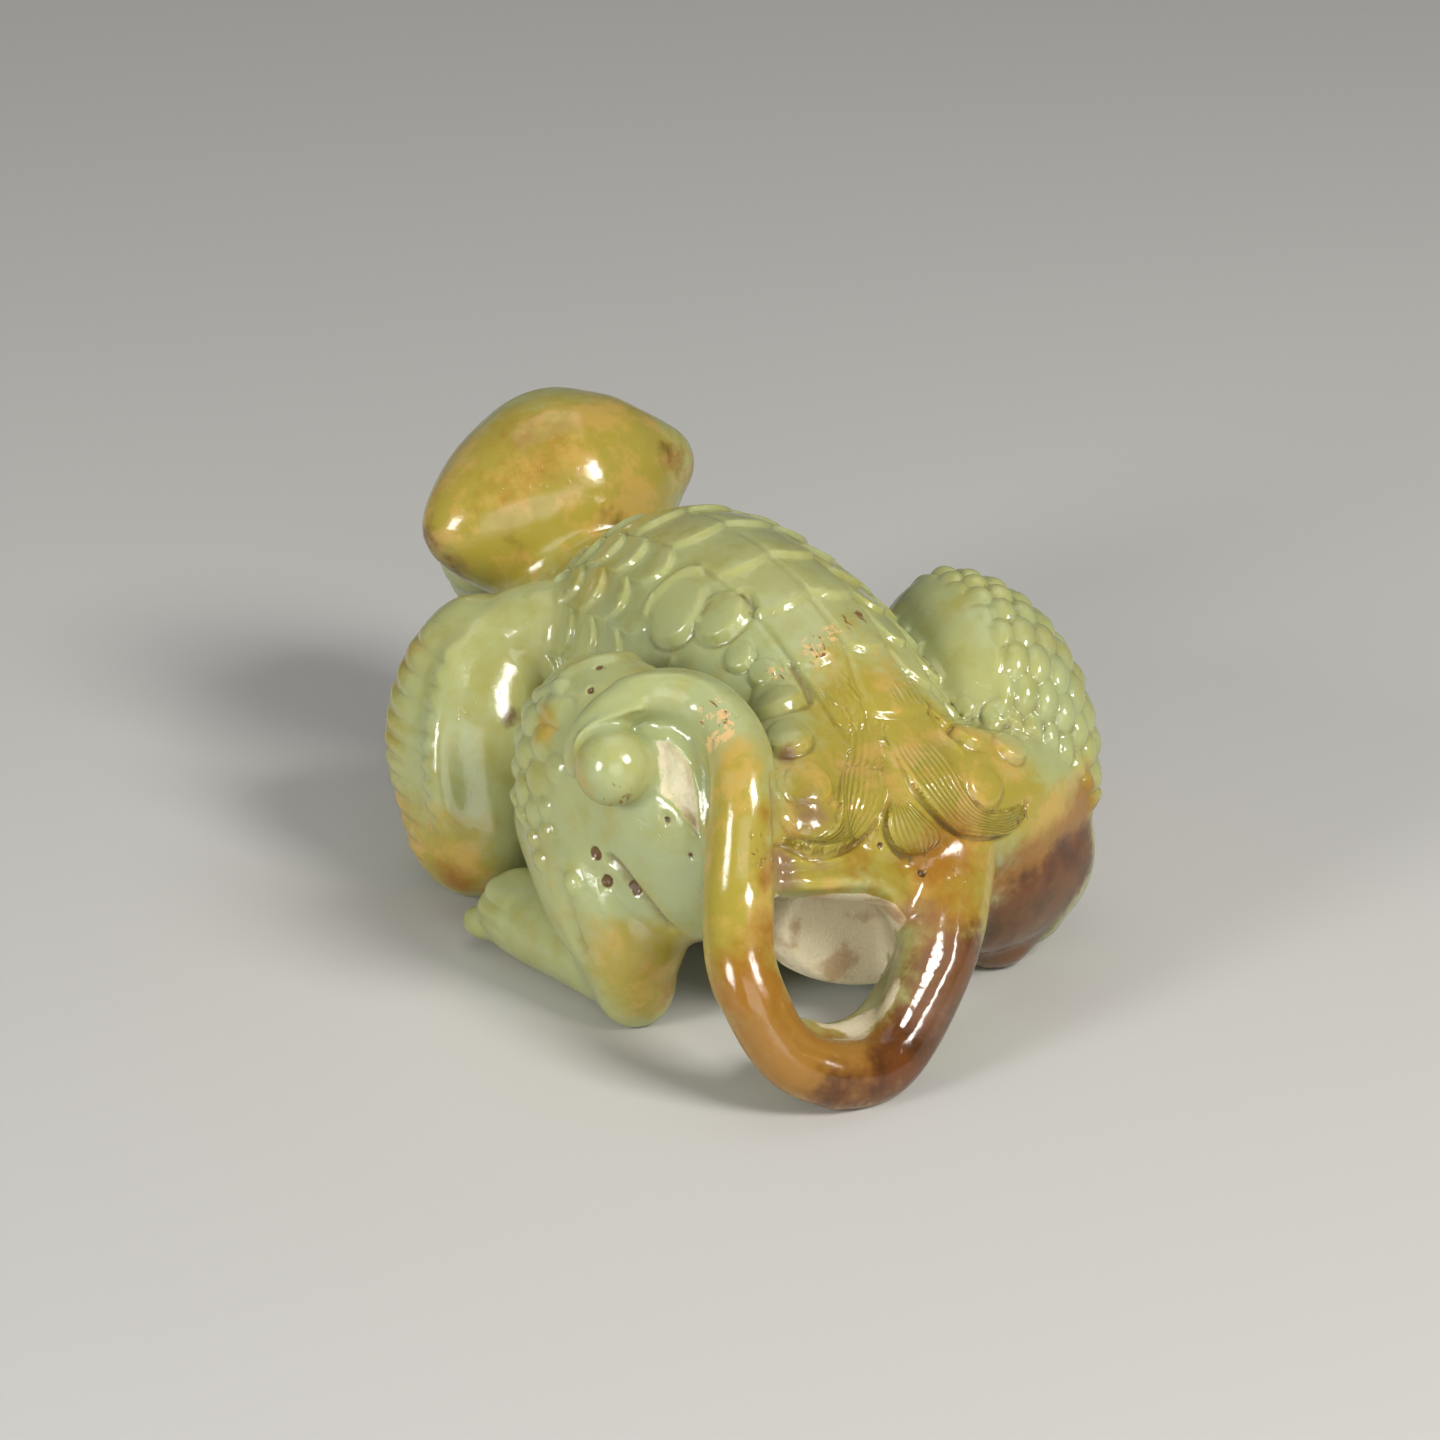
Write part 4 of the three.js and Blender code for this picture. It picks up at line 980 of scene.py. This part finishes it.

# %% [markdown]
# ## Where the stone changes colour
# The pebble was green inside and had a russet skin. The carver kept the skin on the head, the rump and the
# loop. A stain is a soft ball that reaches so far from one place on the skin, and the material breaks up its
# edge with noise later. The same soft balls lay a painted purple-brown sheen beside the tail and on the loop,
# and painted shade along the underside of the head. Raw stone is where the wheel never polished: the hollow,
# and the inside of the loop.

# %% Stains
# across, up, reach, amount
STAINS_AND_PAINTED_LIGHT = {
    "honey": [(8.0, 3.5, 4.5, 0.45), (10.5, 0.5, 4.5, 0.6), (7.5, -1.0, 4.0, 0.7), (12.5, -1.5, 4.5, 0.75),
              (9.0, -5.0, 4.0, 0.95), (5.5, -4.0, 3.0, 0.7), (13.5, -5.5, 4.5, 0.95), (17.0, -5.0, 4.0, 0.9),
              (6.0, -8.0, 3.5, 1.0), (20.5, -7.0, 3.0, 1.0), (16.0, -1.5, 3.0, 0.6), (11.5, -8.5, 4.0, 1.0),
              (22.5, -5.8, 3.5, 1.0), (19.5, -5.0, 2.5, 0.7),
              (1.0, -2.5, 3.0, 0.55), (1.2, -6.5, 4.0, 0.8), (1.0, -11.0, 4.5, 1.0), (1.0, -15.0, 4.5, 1.0),
              (-4.5, -16.5, 3.5, 0.9), (-6.5, -14.5, 3.0, 0.6), (-3.5, -14.0, 2.5, 0.7), (-10.8, -0.4, 1.6, 0.7),
              (-9.2, -3.2, 2.4, 0.35), (-17.0, -9.0, 4.5, 1.0), (-20.5, -1.0, 2.6, 0.6), (-19.5, 4.0, 2.6, 0.6),
              (-19.8, -5.5, 2.6, 0.7), (-13.0, 14.0, 7.5, 1.0), (-8.0, 17.0, 7.5, 1.0), (-16.0, 12.0, 5.0, 1.0),
              (-4.5, 16.5, 5.0, 1.0), (-8.0, 8.5, 3.0, 0.45), (-3.0, 11.6, 2.5, 0.4), (16.0, -10.0, 4.0, 1.0)],
    "amber": [(1.0, -16.0, 3.5, 0.75), (3.5, -19.5, 4.5, 1.0), (7.5, -22.0, 5.0, 1.0), (11.5, -20.5, 4.5, 0.9),
              (3.2, -8.5, 1.6, 0.6), (2.9, -13.0, 1.8, 0.7), (14.0, -13.5, 4.0, 0.7), (19.5, -9.0, 3.0, 0.9),
              (17.5, -10.0, 2.6, 0.7), (21.8, -7.4, 3.0, 1.0), (22.6, -5.2, 2.6, 0.8), (-13.5, 14.5, 5.0, 0.35),
              (-10.5, 17.5, 5.0, 0.3),
              (-16.6, -10.0, 2.2, 0.7), (-3.0, -16.8, 1.6, 0.45), (-4.5, -15.0, 2.5, 0.3), (2.7, -5.8, 0.8, 0.6),
              (14.0, -8.6, 3.6, 0.8), (9.0, -9.2, 2.6, 0.5), (2.8, -10.0, 0.9, 0.8)],
    "russet": [(14.8, -16.5, 3.6, 0.9), (13.0, -19.5, 4.0, 0.8), (18.5, -12.5, 4.0, 1.0), (20.8, -11.0, 3.5, 1.0),
               (17.0, -14.0, 3.5, 1.0), (10.0, -22.8, 3.0, 0.6), (-13.0, 0.1, 0.9, 0.7), (-18.4, 11.5, 2.0, 0.5),
               # painted shade: the russet at (-16.8, 9.4), (-12.5, 10.6) and (-6.8, 12.4) darkens the underside of
               # the head, where shade falls, and is not skin
               (-16.8, 9.4, 2.2, 0.5), (-12.5, 10.6, 2.0, 0.35), (-2.9, 16.3, 2.0, 0.6), (-6.8, 12.4, 2.0, 0.35),
               (21.8, -9.5, 3.2, 1.0), (22.6, -7.8, 2.2, 0.8), (12.0, -21.5, 3.5, 0.8), (18.0, -15.0, 3.5, 1.0),
               (15.9, -15.5, 3.0, 0.8), (7.0, -23.3, 2.5, 0.6),
               (4.2, -2.3, 0.7, 0.4), (9.6, -6.6, 0.7, 0.4)],
    # painted sheen, no stain: the plum entries lay a purple-brown reflection as colour beside the tail's left run,
    # under the locks and on the loop's right branch
    "plum_sheen": [(3.5, -4.5, 1.1, 0.8), (3.6, -6.5, 1.1, 0.9), (3.7, -8.5, 1.2, 0.9), (4.0, -10.0, 1.4, 0.9),
             (5.6, -6.0, 1.8, 0.7), (5.4, -3.9, 1.2, 0.3), (6.5, -8.9, 1.4, 0.5), (12.5, -12.0, 2.0, 0.6),
             (13.8, -14.5, 2.4, 0.7), (12.8, -17.5, 2.6, 0.7), (4.1, -2.1, 0.8, 0.6)],
    "chip": [(-0.4, 0.4, 1.1, 1.0), (0.1, -0.6, 0.9, 1.0), (-0.5, -1.4, 0.7, 0.8), (6.0, 4.4, 1.3, 0.6),
             (7.0, 5.4, 0.9, 0.6), (3.6, 2.9, 0.8, 0.5)],
    "flecks": [(7.2, 6.0, 1.2, 1.0), (6.0, 4.3, 1.3, 0.9), (8.7, 6.3, 0.7, 0.9), (13.2, 0.3, 0.6, 0.8),
               (12.7, -1.2, 0.6, 0.8), (-0.3, 0.1, 1.5, 1.0), (-6.6, -4.8, 1.6, 0.6), (3.5, 2.6, 1.0, 0.6),
               (18.5, -5.8, 1.6, 0.5), (14.0, -8.8, 1.8, 0.5), (9.8, -7.0, 1.2, 0.6), (2.6, -8.0, 1.6, 0.5)],
}
# x, y, z, reach, amount on the sides that the eye never meets
HIDDEN_STAINS = {
    "honey": [(8, 36, 14, 9, 0.8), (0, 42, 12, 7, 0.6), (16, 12, 6, 8, 0.5), (-8, 30, 3, 6, 0.4), (0, 6, 0, 9, 0.6)],
    "amber": [(17, 3, 4, 7, 0.8), (9, 30, 19, 5, 0.7), (14, 14, 3, 5, 0.5), (-10, 32, 17, 4, 0.4)],
    "russet": [(17, -2, 3, 7, 1.0), (14, 8, 1, 5, 0.7), (3, 40, 10, 3, 0.4), (9.5, 30, 20, 2.5, 0.8)],
}
SPREAD = 1.35
for name, patches in STAINS_AND_PAINTED_LIGHT.items():
    spots = [(*seen(across, upward)[0], reach, amount) for across, upward, reach, amount in patches]
    for x, y, z, reach, amount in spots + HIDDEN_STAINS.get(name, []):
        who, off = around(np.array([x, y, z]), SPREAD * reach)
        marks[name][who] = 1 - (1 - marks[name][who]) * (1 - amount * (1 - soft(0.0, 1.0, off / (SPREAD * reach))))
print("stains:", {name: len(patches) for name, patches in STAINS_AND_PAINTED_LIGHT.items()})

# %% Raw stone
LOOP_CENTRE = np.array([-6.6, -16.6, 6.2])
who = near(TAIL)
place, angle, off = located(points[who], TAIL)
on_loop = soft(6.0, 9.0, place) * (1 - soft(35.0, 38.0, place)) * (1 - soft(0.5, 0.9, off))
inward = LOOP_CENTRE - points[who]
inward /= np.linalg.norm(inward, axis=1)[:, None]
inner = soft(0.72, 0.92, (inward * facing[who]).sum(1)) * on_loop
marks["raw"][who] = np.maximum(marks["raw"][who], 0.6 * inner)
x, y, z = points.T
in_hollow = (x > HOLLOW_LEFT - 0.6) & (x < HOLLOW_RIGHT + 0.6) & (z < HOLLOW_TOP + 0.6)
marks["raw"][in_hollow & (y < HOLLOW_WALL + 2.0) & (y > -13.5)] = 1.0
for line in (BEHIND, BAR):
    who = near(line, 0.6)
    place, angle, off = located(points[who], line)
    inward = LOOP_CENTRE - points[who]
    inward /= np.linalg.norm(inward, axis=1)[:, None]
    under = soft(0.75, 0.95, (inward * facing[who]).sum(1)) * (1 - soft(0.3, 0.6, off))
    marks["raw"][who] = np.maximum(marks["raw"][who], under)

# %% [markdown]
# ## Raising the relief
# All the heights are added up and the skin is moved once along its own normals. Grime settles where the
# raised skin is hollow, which is where the mean of a point's neighbours lies outside it.

# %% Raised relief
carved = points + facing * height[:, None]
moved(stone, carved)
ends = edges(stone)
sunk = ((neighbour_mean(carved, ends, 3) - carved) * normals(stone)).sum(1)[:, None]
for _ in range(3):
    sunk = neighbour_mean(sunk, ends, 1)
settled = soft(0.004, 0.022, sunk[:, 0]) * (1 - 0.7 * soft(10, 14, points[:, 1]))
marks["grime"] = np.maximum(marks["grime"], settled)
places_of_marks = carved

# %% [markdown]
# ## The ground face and the final mesh
# The belly is ground flat. A box is taken off below the ground, and the skin is thinned where it is plain,
# which keeps the triangles for the scales and the hair. Thinning can leave a lone triangle beside the skin,
# and that is taken away.

# %% Ground face
BOX = np.array([[x, y, z] for x in (-30, 30) for y in (-35, 55) for z in (BELOW_GROUND, 0)], float)
BOX_FACES = [[0, 1, 3, 2], [4, 6, 7, 5], [0, 4, 5, 1], [2, 3, 7, 6], [0, 2, 6, 4], [1, 5, 7, 3]]
ground = bpy.data.objects.new("ground_cut", mesh_from(BOX, BOX_FACES))
bpy.context.scene.collection.objects.link(ground)
stone = worked(stone, ("BOOLEAN", {"operation": "DIFFERENCE", "solver": "MANIFOLD", "object": ground}))
bpy.data.objects.remove(ground)
dense_points, dense_normals = positions(stone), normals(stone)
print("carved:", len(stone.vertices), "points")

# %% Thinning
TRIANGLES = 190000
share = TRIANGLES / sum(len(face.vertices) - 2 for face in stone.polygons)
stone = worked(stone, ("TRIANGULATE", {}), ("DECIMATE", {"ratio": min(1.0, share)}))


def without_strays(mesh):
    """The mesh without any face that shares no edge with another."""
    shell = bmesh.new()
    shell.from_mesh(mesh)
    strays = [face for face in shell.faces if all(len(edge.link_faces) == 1 for edge in face.edges)]
    bmesh.ops.delete(shell, geom=strays, context="FACES")
    shell.to_mesh(mesh)
    shell.free()
    return mesh


stone = without_strays(stone)
print("thinned to", len(stone.polygons), "triangles")


# %% [markdown]
# ## Marks and normals on the thinned skin
# The thinned skin takes its marks and its shading normals from the nearest point of the dense one, so the
# fine relief still catches the light although its triangles are fewer.


# %% Handing over marks and normals
def nearest(targets, sources):
    """For each target the index of the nearest source, by a tree of the sources."""
    tree = KDTree(len(sources))
    for k, place in enumerate(sources.tolist()):
        tree.insert(place, k)
    tree.balance()
    return np.array([tree.find(place)[1] for place in targets.tolist()])


thin = positions(stone)
origin = nearest(thin, places_of_marks)
for name, values in marks.items():
    stone.attributes.new(name, "FLOAT", "POINT").data.foreach_set("value", values[origin].astype(np.float32))
shading = dense_normals[nearest(thin, dense_points)]
moved(stone, (thin - FOOTPRINT_MIDDLE) * MILLIMETRE)
stone.shade_smooth()
stone.normals_split_custom_set_from_vertices(shading.tolist())
print("marks handed over:", ", ".join(marks))

# %% The piece
stone.name = "jade_beast"
beast = bpy.data.objects.new("jade_beast", stone)
bpy.context.scene.collection.objects.link(beast)
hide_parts("jade_carving")
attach(beast, "root")

# %% [markdown]
# ## Jade
# Polished jade is a waxy stone that light enters a little way. Its colour here is celadon clouded by noise,
# over which the stains and a painted purple-brown sheen are laid from the lightest to the darkest. Noise is
# added to each of them before it is cut off, which frays its edge as iron does when it creeps into stone.

# %% Nodes
jade = bpy.data.materials.new("jade")
jade.use_nodes = True
tree = jade.node_tree
shader = tree.nodes["Principled BSDF"]
place_node = tree.nodes.new("ShaderNodeTexCoord")


def wired(socket, value):
    """Links a node's output, or sets a plain value, on the socket."""
    if isinstance(value, bpy.types.NodeSocket):
        tree.links.new(value, socket)
    else:
        socket.default_value = value


def maths(operation, first, second=0.0, third=0.0, clamp=False):
    new = tree.nodes.new("ShaderNodeMath")
    new.operation, new.use_clamp = operation, clamp
    for socket, value in zip(new.inputs, (first, second, third)):
        wired(socket, value)
    return new.outputs[0]


def mark(name):
    new = tree.nodes.new("ShaderNodeAttribute")
    new.attribute_name = name
    return new.outputs["Fac"]


def clouds(scale, detail=4.0, roughness=0.55, stretch=None, distortion=0.0):
    """Noise on Object coordinates, scale being how many clouds go in a metre."""
    new = tree.nodes.new("ShaderNodeTexNoise")
    new.inputs["Scale"].default_value = scale
    new.inputs["Detail"].default_value = detail
    new.inputs["Roughness"].default_value = roughness
    new.inputs["Distortion"].default_value = distortion
    source = place_node.outputs["Object"]
    if stretch:
        mapping = tree.nodes.new("ShaderNodeMapping")
        mapping.inputs["Scale"].default_value = stretch
        tree.links.new(source, mapping.inputs["Vector"])
        source = mapping.outputs["Vector"]
    tree.links.new(source, new.inputs["Vector"])
    return new.outputs["Fac"]


def between(low, high, value):
    new = tree.nodes.new("ShaderNodeMapRange")
    new.interpolation_type = "SMOOTHSTEP"
    wired(new.inputs["Value"], value)
    new.inputs["From Min"].default_value, new.inputs["From Max"].default_value = low, high
    return new.outputs["Result"]


def laid_over(under, over, share):
    new = tree.nodes.new("ShaderNodeMix")
    new.data_type = "RGBA"
    wired(new.inputs["Factor"], share)
    wired(new.inputs["A"], under)
    wired(new.inputs["B"], over)
    return new.outputs["Result"]


# %% Tones of the stone
CELADON, GREY_GREEN, MOSS = (0.42, 0.43, 0.17, 1), (0.37, 0.41, 0.20, 1), (0.34, 0.33, 0.08, 1)
HONEY, OCHRE = (0.38, 0.30, 0.035, 1), (0.52, 0.34, 0.07, 1)
AMBER, RUSSET, DARK_RUSSET = (0.31, 0.13, 0.008, 1), (0.13, 0.034, 0.003, 1), (0.055, 0.014, 0.002, 1)
# the plum tone is a painted sheen: it stands in for a purple-brown reflection on the russet skin
PLUM_SHEEN, CHIP = (0.26, 0.14, 0.085, 1), (0.72, 0.47, 0.20, 1)
# partly painted light: the raw stone's pale beige is made lighter than the stone to stand in for light on the shaded
# wall of the hollow
RAW_WITH_PAINTED_LIGHT, RAW_ORANGE = (0.80, 0.70, 0.50, 1), (0.45, 0.24, 0.10, 1)
GRIME, RUST = (0.16, 0.09, 0.02, 1), (0.20, 0.06, 0.015, 1)

broad, middling, fine = clouds(110), clouds(420, 5), clouds(1700, 5, 0.6)
specks = clouds(5200, 3)
coarse_fray = maths("MULTIPLY", maths("SUBTRACT", middling, 0.5), 0.9)
fine_fray = maths("MULTIPLY", maths("SUBTRACT", fine, 0.5), 0.5)
fray = maths("ADD", coarse_fray, fine_fray)


def frayed(name, low, high):
    """The mark with noise added, cut off softly between low and high."""
    return between(low, high, maths("ADD", mark(name), maths("MULTIPLY", fray, between(0.0, 0.25, mark(name)))))


green = laid_over(CELADON, GREY_GREEN, between(0.38, 0.66, broad))
green = laid_over(green, MOSS, maths("MULTIPLY", between(0.45, 0.72, middling), 0.6))
green = laid_over(green, HONEY, maths("MULTIPLY", between(0.5, 0.72, clouds(230, 5, 0.6)), 0.4))
honey = laid_over(HONEY, OCHRE, between(0.46, 0.6, clouds(320, 6, 0.62)))
colour = laid_over(green, honey, maths("MULTIPLY", frayed("honey", 0.08, 0.75), 0.92))
colour = laid_over(colour, AMBER, maths("MULTIPLY", frayed("amber", 0.12, 0.85), 0.92))
russet = laid_over(RUSSET, DARK_RUSSET, between(0.4, 0.7, middling))
# the russet skin of the pebble, which also lays painted shade along the underside of the head
colour = laid_over(colour, russet, maths("MULTIPLY", frayed("russet", 0.12, 0.8), 0.92))
# painted sheen: a purple-brown reflection laid over the russet as colour
colour = laid_over(colour, PLUM_SHEEN, maths("MULTIPLY", frayed("plum_sheen", 0.15, 0.9), 0.75))
raw_share = between(0.3, 0.7, maths("ADD", mark("raw"), fine_fray))
# raw stone tone, lightened as painted light for the shaded hollow, with orange patches
raw = laid_over(RAW_WITH_PAINTED_LIGHT, RAW_ORANGE, maths("MULTIPLY", between(0.52, 0.68, middling), 0.7))
colour = laid_over(colour, raw, maths("MULTIPLY", raw_share, 0.85))
grime = maths("MULTIPLY", frayed("grime", 0.2, 1.0), 0.62)
colour = laid_over(colour, GRIME, grime)
streaks = clouds(2600, 2, 0.5, (1.0, 0.35, 0.6), 0.6)
fleck = maths("MULTIPLY", between(0.60, 0.64, streaks), between(0.15, 0.5, mark("flecks")))
colour = laid_over(colour, RUST, maths("MULTIPLY", fleck, 0.85))
chip = maths("MULTIPLY", between(0.5, 0.56, clouds(1500, 4, 0.65)), between(0.15, 0.4, mark("chip")))
colour = laid_over(colour, CHIP, maths("MULTIPLY", chip, 0.85))
wired(shader.inputs["Base Color"], colour)
print("jade has", len(tree.nodes), "nodes so far")

# %% Polish and fine relief
POLISH, GROOVE_DEPTH = 0.15, 0.00012
matt = maths("MULTIPLY", raw_share, 0.42)
wear = maths("MULTIPLY", between(0.4, 0.8, fine), 0.10)
dull = maths("ADD", maths("MULTIPLY", grime, 0.25), maths("MULTIPLY", chip, 0.3))
wired(shader.inputs["Roughness"], maths("ADD", maths("ADD", POLISH, wear), maths("ADD", matt, dull)))

stroke = maths("MULTIPLY", maths("PINGPONG", mark("comb"), 0.5), maths("MULTIPLY", mark("hair"), 2.0))
scratch = clouds(3800, 2, 0.5, (1.0, 0.12, 0.5))
surface = maths("ADD", maths("MULTIPLY", stroke, 1.0), maths("MULTIPLY", middling, 0.35))
surface = maths("ADD", surface, maths("MULTIPLY", maths("MULTIPLY", specks, raw_share), 0.8))
surface = maths("ADD", surface, maths("MULTIPLY", between(0.66, 0.7, scratch), -0.06))
surface = maths("SUBTRACT", surface, maths("MULTIPLY", fleck, 0.25))
bump = tree.nodes.new("ShaderNodeBump")
bump.inputs["Distance"].default_value = GROOVE_DEPTH
bump.inputs["Strength"].default_value = 1.0
wired(bump.inputs["Height"], surface)
wired(shader.inputs["Normal"], bump.outputs["Normal"])

# %% Light inside the stone
shader.inputs["IOR"].default_value = 1.62
shader.inputs["Subsurface Weight"].default_value = 0.4
shader.inputs["Subsurface Radius"].default_value = (1.0, 0.85, 0.35)
shader.inputs["Subsurface Scale"].default_value = 0.0013
stone.materials.clear()
stone.materials.append(jade)

# %% [markdown]
# ## Floor, lights, camera
# Two softboxes stand to the left and the right of the viewer, as their small square reflections on the ball
# say. A wide one overhead and a low one in front open the shadows a little. The floor is a plain pale sheet,
# so that nothing competes with the stone, and the camera stands at the viewpoint that the marks were seen from.

# %% Floor
bpy.ops.mesh.primitive_plane_add(size=3.0)
floor = bpy.context.object
floor.name = "floor"
paper = bpy.data.materials.new("paper")
paper.use_nodes = True
paper.node_tree.nodes["Principled BSDF"].inputs["Base Color"].default_value = (0.60, 0.59, 0.56, 1)
paper.node_tree.nodes["Principled BSDF"].inputs["Roughness"].default_value = 0.7
floor.data.materials.append(paper)

# %% Lights
AIM = Vector((-0.002, -0.008, 0.01))


def softbox(name, toward, distance, width, tall, watts, colour=(1, 1, 1)):
    """A rectangular lamp that stands so far from the beast in one direction and shines back at it."""
    light = bpy.data.lights.new(name, "AREA")
    light.shape = "RECTANGLE"
    light.size, light.size_y = width, tall
    light.energy = watts
    light.color = colour
    lamp = bpy.data.objects.new(name, light)
    toward = Vector(toward).normalized()
    lamp.location = AIM + toward * distance
    lamp.rotation_euler = toward.to_track_quat("Z", "Y").to_euler()
    bpy.context.scene.collection.objects.link(lamp)
    return lamp


# toward, distance, width, height, watts
softbox("left_softbox", (-0.920, -0.194, 0.313), 0.45, 0.12, 0.16, 1.0)
softbox("right_softbox", (0.222, -0.732, 0.654), 0.45, 0.15, 0.15, 1.6, (1.0, 0.98, 0.94))
softbox("overhead", (0.1, 0.3, 1.0), 0.7, 0.5, 0.5, 0.6)
softbox("low_fill", (-0.35, -0.85, 0.22), 0.6, 0.4, 0.4, 0.95)

world = bpy.data.worlds.new("studio")
bpy.context.scene.world = world
world.use_nodes = True
world.node_tree.nodes["Background"].inputs["Color"].default_value = (0.36, 0.36, 0.37, 1)
world.node_tree.nodes["Background"].inputs["Strength"].default_value = 0.4
bpy.context.scene.view_settings.view_transform = "Standard"

# %% Camera
LENS_LENGTH = 141.67
lens = bpy.data.cameras.new("camera")
lens.sensor_fit = "HORIZONTAL"
lens.sensor_width = 36.0
lens.lens = LENS_LENGTH
lens.clip_start = 0.01
camera = bpy.data.objects.new("camera", lens)
turn = Matrix((Vector(ACROSS), Vector(RISING), Vector(-INTO))).transposed().to_4x4()
camera.matrix_world = Matrix.Translation(Vector((VIEWPOINT - FOOTPRINT_MIDDLE) * MILLIMETRE)) @ turn
bpy.context.scene.collection.objects.link(camera)
bpy.context.scene.camera = camera
